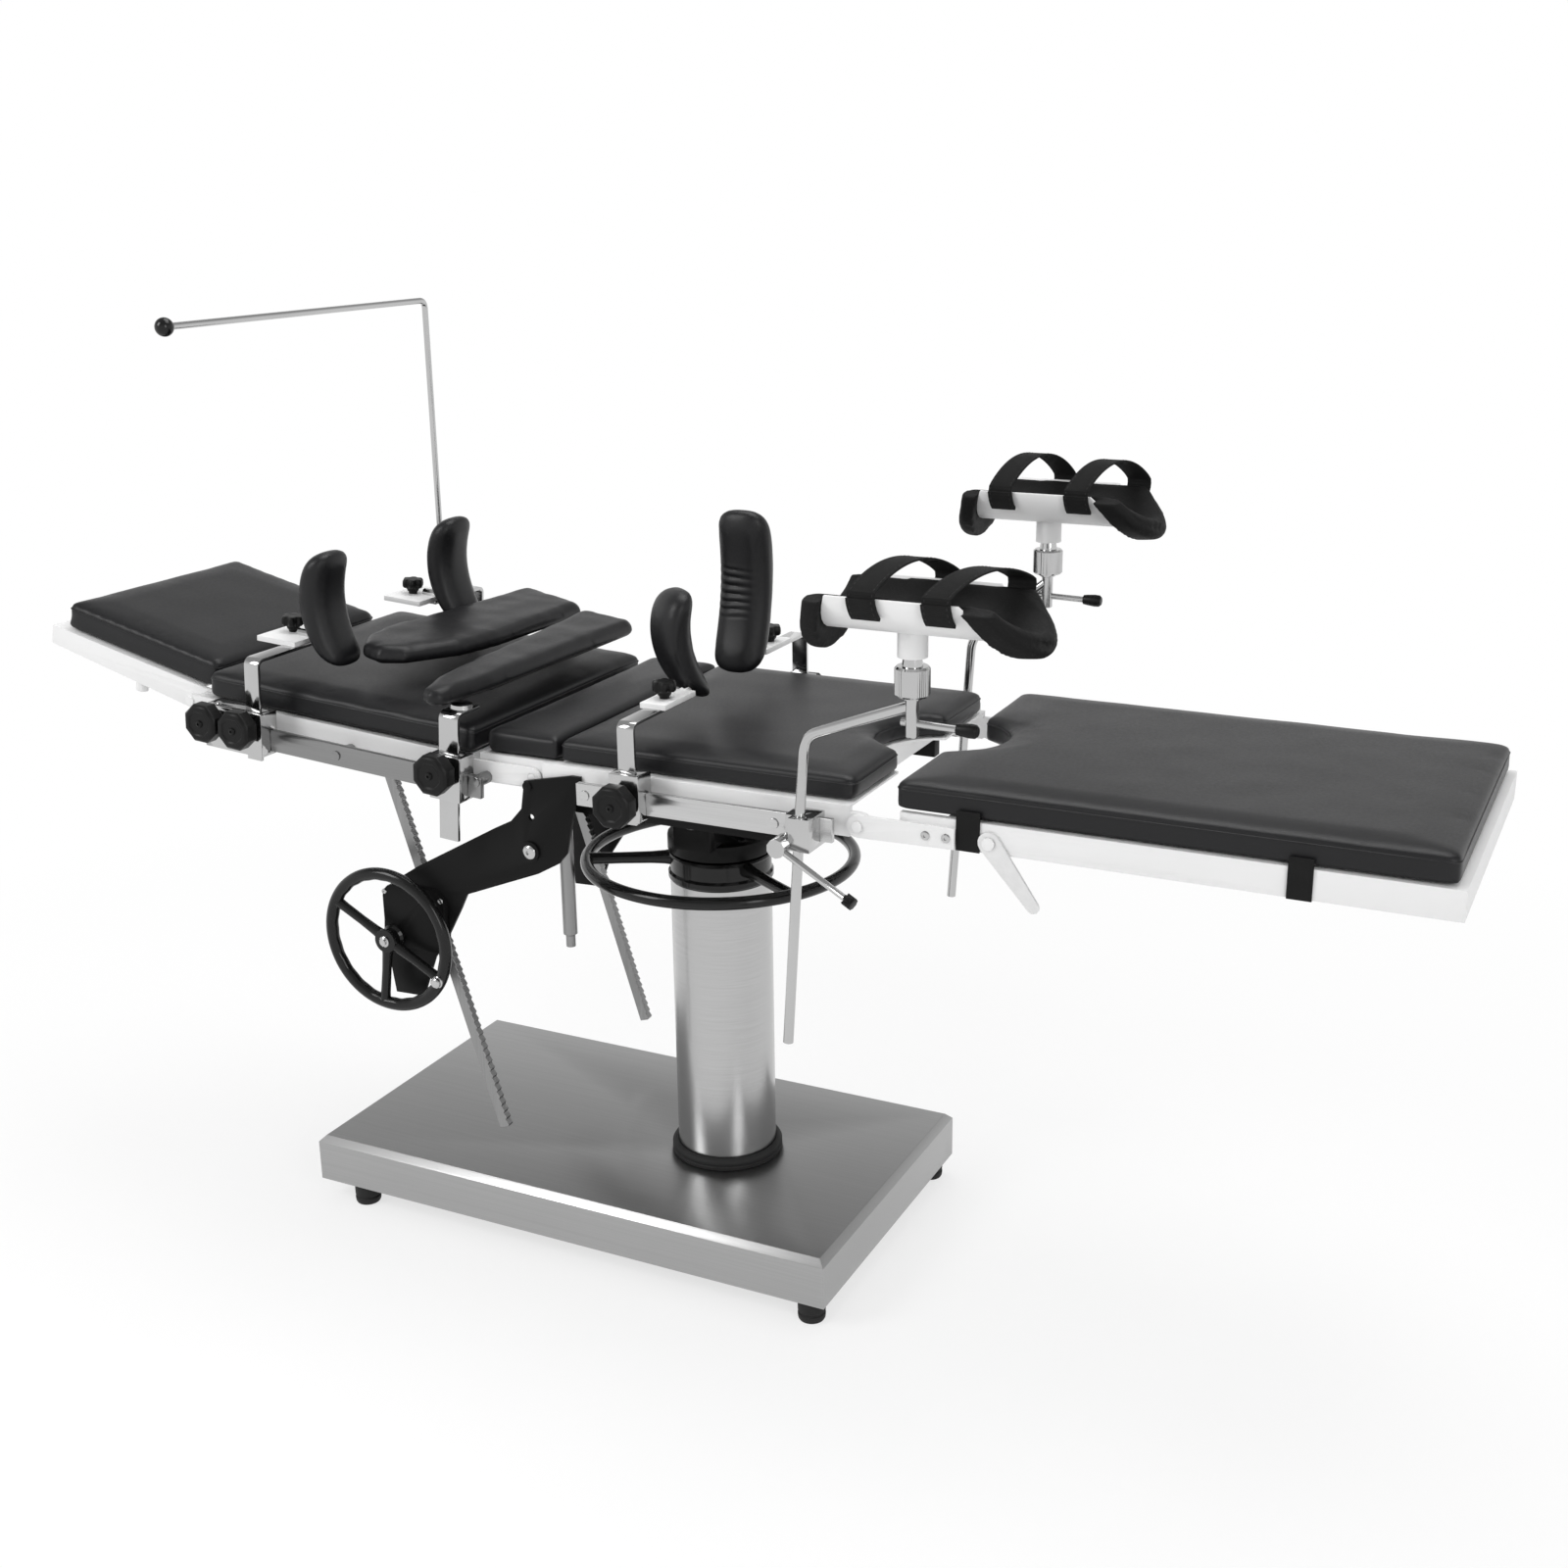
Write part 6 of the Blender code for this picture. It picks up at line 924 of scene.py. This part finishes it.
def make_strap(name, body, centre, x, rise):
    """A webbing band over a cup, its near end lapped down outside the shell under a sewn tab."""
    line = strap_line(rise)
    place = Vector((x, centre.y, centre.z))
    band = band_of(line, place, STRAP_WIDTH, 0.0004)
    tab = band_of(line[:5], place, STRAP_WIDTH + 0.001, STRAP_THICKNESS + 0.0005)
    whole = one([band, tab])
    soften(whole)
    dress(whole, name, body, WEBBING)
    edge = STRAP_WIDTH / 2 - 0.0035
    rows = [stitches(line[4:-4], place, across, STRAP_THICKNESS + 0.0005) for across in (-edge, edge)]
    rows += [stitches(line[:5], place, across, STRAP_THICKNESS * 2 + 0.0006) for across in (-edge, edge)]
    dress(one(rows), name + "_stitching", body, THREAD)


def make_cups():
    for word, side in SIDES:
        kept_shape("stirrup_cup_" + word, WHITE_PAINT, 0.001)
        centre, low_x = make_lining(word, side)
        shares = (0.39, 0.79) if word == "near" else (0.32, 0.81)
        rises = (0.027, 0.021) if word == "near" else (0.038, 0.034)
        for index, (share, rise) in enumerate(zip(shares, rises)):
            name = "stirrup_strap_%s_%d" % (word, index)
            make_strap(name, "cup_" + word, centre, low_x + share * CUP_LENGTH, rise)


# Padded pieces
def swollen(piece, cap, up):
    """Swell a closed form as filled cloth, each point moving no further than the cap."""
    start = [vertex.co.copy() for vertex in piece.data.vertices]
    normals = [vertex.normal.copy() for vertex in piece.data.vertices]
    cloth = piece.modifiers.new("Filling", "CLOTH")
    cloth.settings.use_pressure = True
    cloth.settings.uniform_pressure_force = 4.0
    cloth.settings.effector_weights.gravity = 0.0
    cloth.settings.quality = 4
    cloth.point_cache.frame_start = 1
    cloth.point_cache.frame_end = 20
    for step in range(1, 21):
        bpy.context.scene.frame_set(step)
    only(piece)
    bpy.ops.object.modifier_apply(modifier=cloth.name)
    bpy.context.scene.frame_set(1)
    for vertex, home, normal in zip(piece.data.vertices, start, normals):
        limit = cap
        if up.length > 0.5:
            limit *= min(1.0, max(0.0, normal.dot(up) * 2.0 + 1.0))
        move = vertex.co - home
        if move.length > limit:
            move = move.normalized() * limit
        vertex.co = home + move


def padded(piece, voxel, shrink, cap, up):
    """Shrink a form, remesh it and swell it.

    Where up is given, faces that look the other way rest on something and stay flat.
    """
    face_out(piece)
    apply_modifier(piece, "DISPLACE", strength=-shrink, mid_level=0.0, direction="NORMAL")
    apply_modifier(piece, "REMESH", mode="VOXEL", voxel_size=voxel)
    only(piece)
    bpy.ops.object.shade_smooth()
    swollen(piece, cap, up)
    apply_modifier(piece, "SMOOTH", factor=0.5, iterations=2)
    apply_modifier(piece, "SUBSURF", levels=1, render_levels=1)


def covered(piece, node):
    """Dress a padded piece in leatherette in its node's place."""
    soften(piece)
    dress(piece, node + "_padded", body_of(node), LEATHERETTE)
    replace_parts(piece, node)


def unevenness(piece, up, size, depth):
    """Low soft waves on the upper skin, where foam pushes unevenly."""
    normals = [vertex.normal.dot(up) for vertex in piece.data.vertices]
    for vertex, share in zip(piece.data.vertices, normals):
        if share > 0.2:
            vertex.co += up * (noise.noise(vertex.co * size) * depth * share)


SECTIONS = (("head_cushion", HEAD_RISE), ("back_cushion", BACK_RISE), ("bridge_pad", 0.0),
            ("seat_cushion", 0.0), ("leg_cushion", 0.0))
CUSHION_SECTION = ((0.01, 0.0), (0.003, 0.003), (0.0, 0.01), (0.0015, 0.017), (0.0, 0.0242),
                   (0.003, 0.0312), (0.01, 0.0342))


def slab(low_x, high_x, half_width, bottom):
    """A square-ended length of cushion, from (inset, height) pairs up its side."""
    side = [(half_width - inset, bottom + height) for inset, height in CUSHION_SECTION]
    outline = side + [(-across, height) for across, height in reversed(side)]
    points = [(x, across, height) for x in (low_x, high_x) for across, height in outline]
    return from_points(points, tube_faces(2, len(outline)))


WELT_DEPTH, WELT_RADIUS = 0.013, 0.0011


def welt(node, piece, up):
    """The sewn cord round a cushion's upper edge."""
    seam = copied(node)
    heights = [vertex.co.dot(up) for vertex in seam.data.vertices]
    level = max(heights) - WELT_DEPTH
    edit(seam)
    bpy.ops.mesh.select_mode(type="EDGE")
    unselect(seam)
    for edge in seam.data.edges:
        edge.select = all(abs(heights[index] - level) < 0.0006 for index in edge.vertices)
    bpy.ops.object.mode_set(mode="EDIT")
    bpy.ops.mesh.select_all(action="INVERT")
    bpy.ops.mesh.delete(type="EDGE_FACE")
    bpy.ops.mesh.select_all(action="SELECT")
    bpy.ops.mesh.subdivide(number_cuts=7)
    settle()
    apply_modifier(seam, "SHRINKWRAP", target=piece, wrap_method="NEAREST_SURFACEPOINT", offset=0.0002)
    only(seam)
    bpy.ops.object.convert(target="CURVE")
    seam.data.bevel_depth = WELT_RADIUS
    seam.data.bevel_resolution = 2
    bpy.ops.object.convert(target="MESH")
    soften(seam)
    return dress(seam, node + "_welt", body_of(node), LEATHERETTE)


def make_cushions():
    for node, turn in SECTIONS:
        up = Vector((math.sin(math.radians(turn)), 0.0, math.cos(math.radians(turn))))
        piece = copied(node)
        low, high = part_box(node)
        if node == "bridge_pad":
            seat_low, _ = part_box("seat_cushion")
            piece = one([piece, slab(high.x - 0.03, seat_low.x - 0.004, high.y, low.z)])
        if node == "seat_cushion":
            piece = one([piece, slab(low.x - 0.002, low.x + 0.04, high.y, low.z)])
        padded(piece, 0.006, 0.0012, 0.0024, up)
        unevenness(piece, up, 14.0, 0.0006)
        covered(piece, node)
        if node != "bridge_pad":
            welt(node, piece, up)


ROLL_HALF_THICKNESS, ROLL_HALF_WIDTH = 0.0232, 0.044


def rounder(value, power):
    return math.copysign(abs(value) ** power, value)


def curved_roll(bottom, top, bow, lean, end_power):
    """An upright roll of even thickness about the origin's Z line, its round ends curving to +X."""
    stations, sides = 44, 36
    points = []
    for station in range(1, stations):
        share = -math.cos(math.pi * station / stations)
        height = (bottom + top) / 2 + share * (top - bottom) / 2
        fullness = math.sqrt(1.0 - abs(share) ** end_power)
        middle = bow * share * share - lean * share
        for index in range(sides):
            roll = math.tau * index / sides
            points.append((middle + rounder(math.cos(roll), 0.8) * ROLL_HALF_THICKNESS * fullness,
                           rounder(math.sin(roll), 0.8) * ROLL_HALF_WIDTH * fullness ** 0.8, height))
    return from_points(points, tube_faces(stations - 1, sides))


def creases(piece, inward, centre):
    """Fine folds across the hollow side, where the cover is gathered at mid height."""
    normals = [vertex.normal.dot(inward) for vertex in piece.data.vertices]
    for vertex, facing in zip(piece.data.vertices, normals):
        off = vertex.co - centre
        reach = max(0.0, 1.0 - (off.z / 0.042) ** 4)
        fade = max(0.0, min(1.0, (0.03 - off.x) / 0.035))
        if facing > 0.25 and reach > 0.0 and fade > 0.0:
            warp = 2.2 * noise.noise(vertex.co * 22.0) + 14.0 * off.x * noise.noise(vertex.co * 9.0)
            wave = math.sin(off.z * math.tau / 0.0118 + warp)
            deep = 0.0015 if wave < 0 else 0.0007
            vertex.co += inward * (wave * deep * reach * fade * facing)


def make_curved_pads():
    """Shoulder rolls on the back's posts and taller hip rolls that face each other over the seat."""
    for word, side in SIDES:
        mirror = Matrix.Scale(side, 4, (0, 1, 0))
        shoulder = curved_roll(0.852, 1.026, 0.029, 0.013, 7.0)
        place = Matrix.Translation(at(-0.433, 0.16, 0.0))
        finish_pad(shoulder, "shoulder_pad_" + word, section_turn(BACK_RISE) @ mirror @ place, None)
        near = word == "near"
        top, x, turn = (1.03, HIP_NEAR_X, -52.0) if near else (1.112, HIP_FAR_X, -90.0)
        hip = curved_roll(0.87, top, 0.027, 0.014, 7.0 if near else 9.0)
        place = Matrix.Translation(at(x, 0.104, 0.0)) @ Matrix.Rotation(math.radians(turn), 4, "Z")
        finish_pad(hip, "hip_pad_" + word, mirror @ place, None if near else at(x, 0.08, 0.99))


def finish_pad(piece, node, place, fold_centre):
    piece.matrix_world = place
    apply_place(piece)
    padded(piece, 0.004, 0.001, 0.002, ALL_ROUND)
    if fold_centre:
        creases(piece, Vector((0, -1, 0)), fold_centre)
    covered(piece, node)


def make_armboards():
    for word, _ in SIDES:
        piece = copied("armboard_" + word)
        padded(piece, 0.005, 0.001, 0.0022, UP)
        unevenness(piece, UP, 26.0, 0.0012)
        covered(piece, "armboard_" + word)


def make_holding_straps():
    """Black tabs that tie the leg cushion down over the white frame."""
    for word, side in SIDES:
        for index, (low_x, high_x) in enumerate(((0.64, 0.672), (1.056, 1.086))):
            bpy.ops.object.select_all(action="DESELECT")
            bpy.ops.mesh.primitive_cube_add(size=1.0)
            tab = bpy.context.object
            tab.scale = (high_x - low_x, 0.0022, 0.053)
            tab.location = at((low_x + high_x) / 2, side * 0.2513, 0.7865)
            apply_place(tab)
            edit(tab)
            bpy.ops.mesh.subdivide(number_cuts=6)
            settle()
            for vertex in tab.data.vertices:
                share = (vertex.co.z - 0.76) / 0.053
                vertex.co.y += side * 0.0006 * math.sin(share * math.pi)
            soften(tab, 0.0006)
            dress(tab, "holding_strap_%s_%d" % (word, index), "leg", WEBBING)


# Studio
def larger(tree, first, second):
    """The larger of two sockets' values."""
    node = tree.nodes.new("ShaderNodeMath")
    node.operation = "MAXIMUM"
    tree.links.new(first, node.inputs[0])
    tree.links.new(second, node.inputs[1])
    return node.outputs["Value"]


def spread_of(tree, value, start, end, low, high):
    """Spread a value between two levels as it goes from start to end."""
    node = tree.nodes.new("ShaderNodeMapRange")
    for label, number in (("From Min", start), ("From Max", end), ("To Min", low), ("To Max", high)):
        node.inputs[label].default_value = number
    tree.links.new(value, node.inputs["Value"])
    return node


def make_stage():
    """A pale floor that the camera sees as white away from the part, with the part's shadow on it."""
    bpy.ops.object.select_all(action="DESELECT")
    bpy.ops.mesh.primitive_plane_add(size=60.0, location=(0.0, 0.0, 0.0))
    floor = bpy.context.object
    floor.name = "floor"
    made = bpy.data.materials.new("Pale floor")
    made.use_nodes = True
    tree = made.node_tree
    nodes, links = tree.nodes, tree.links
    shader = nodes["Principled BSDF"]
    shader.inputs["Base Color"].default_value = grey(0.92)
    shader.inputs["Roughness"].default_value = 0.9
    shader.inputs["Specular IOR Level"].default_value = 0.0
    glow = nodes.new("ShaderNodeEmission")
    glow.inputs["Color"].default_value = grey(1.0)
    path = nodes.new("ShaderNodeLightPath")
    blend = nodes.new("ShaderNodeMath")
    blend.operation = "MULTIPLY"
    mix = nodes.new("ShaderNodeMixShader")
    place = nodes.new("ShaderNodeTexCoord")
    reach = nodes.new("ShaderNodeVectorMath")
    reach.operation = "LENGTH"
    links.new(place.outputs["Object"], reach.inputs[0])
    fade = spread_of(tree, reach.outputs["Value"], 0.7, 2.4, 0.7, 1.0)
    links.new(larger(tree, path.outputs["Is Camera Ray"], path.outputs["Is Glossy Ray"]), blend.inputs[0])
    links.new(fade.outputs["Result"], blend.inputs[1])
    links.new(blend.outputs["Value"], mix.inputs["Fac"])
    links.new(shader.outputs["BSDF"], mix.inputs[1])
    links.new(glow.outputs["Emission"], mix.inputs[2])
    links.new(mix.outputs["Shader"], nodes["Material Output"].inputs["Surface"])
    floor.data.materials.append(made)


def make_world():
    """A white room whose reflection darkens towards the ceiling."""
    world = bpy.data.worlds.new("Studio")
    bpy.context.scene.world = world
    world.use_nodes = True
    tree = world.node_tree
    nodes, links = tree.nodes, tree.links
    back = nodes["Background"]
    back.inputs["Color"].default_value = grey(1.0)
    path = nodes.new("ShaderNodeLightPath")
    seen = larger(tree, path.outputs["Is Camera Ray"], path.outputs["Is Glossy Ray"])
    seen = larger(tree, seen, path.outputs["Is Transmission Ray"])
    place = nodes.new("ShaderNodeTexCoord")
    parts = nodes.new("ShaderNodeSeparateXYZ")
    links.new(place.outputs["Generated"], parts.inputs["Vector"])
    ceiling = spread_of(tree, parts.outputs["Z"], 0.1, 0.6, 1.0, 0.42)
    level = spread_of(tree, seen, 0.0, 1.0, 0.55, 1.0)
    links.new(ceiling.outputs["Result"], level.inputs["To Max"])
    links.new(level.outputs["Result"], back.inputs["Strength"])


def lamp(name, place, aim_at, size, power):
    bpy.ops.object.light_add(type="AREA", location=place)
    made = bpy.context.object
    made.name = name
    made.data.shape = "RECTANGLE"
    made.data.size, made.data.size_y = size
    made.data.energy = power
    made.rotation_euler = (Vector(aim_at) - Vector(place)).to_track_quat("-Z", "Y").to_euler()


def make_lights():
    lamp("key", (-2.6, -3.2, 3.6), (0.0, 0.0, 0.7), (1.6, 2.4), 90.0)
    lamp("fill", (3.4, -2.6, 2.4), (0.0, 0.0, 0.6), (1.2, 2.4), 38.0)
    lamp("top", (0.2, 0.6, 3.8), (0.0, 0.0, 0.7), (3.0, 1.6), 60.0)


# The photograph's camera: its focal length and width in pixels, and its place and angles
FOCAL_PIXELS, WIDTH_PIXELS = 1949.06, 1600.0
CAMERA_PLACE = (1.45954, -2.39905, 1.5806)
CAMERA_BEARING, CAMERA_DIP, CAMERA_ROLL = 26.312, 17.68, -0.755


def make_camera():
    data = bpy.data.cameras.new("camera")
    camera = linked("camera", data)
    data.sensor_width = 36.0
    data.lens = data.sensor_width * FOCAL_PIXELS / WIDTH_PIXELS
    turn = Matrix.Rotation(math.radians(CAMERA_BEARING), 4, "Z")
    turn = turn @ Matrix.Rotation(math.radians(90.0 - CAMERA_DIP), 4, "X")
    turn = turn @ Matrix.Rotation(math.radians(CAMERA_ROLL), 4, "Z")
    camera.matrix_world = Matrix.Translation(at(*CAMERA_PLACE)) @ turn
    bpy.context.scene.camera = camera


make_base()
make_column()
make_side_wheel()
make_frames()
make_accessories()
make_screen()
make_cups()
make_cushions()
make_curved_pads()
make_armboards()
make_holding_straps()
make_stage()
make_world()
make_lights()
make_camera()
bpy.context.scene.view_settings.view_transform = "Standard"
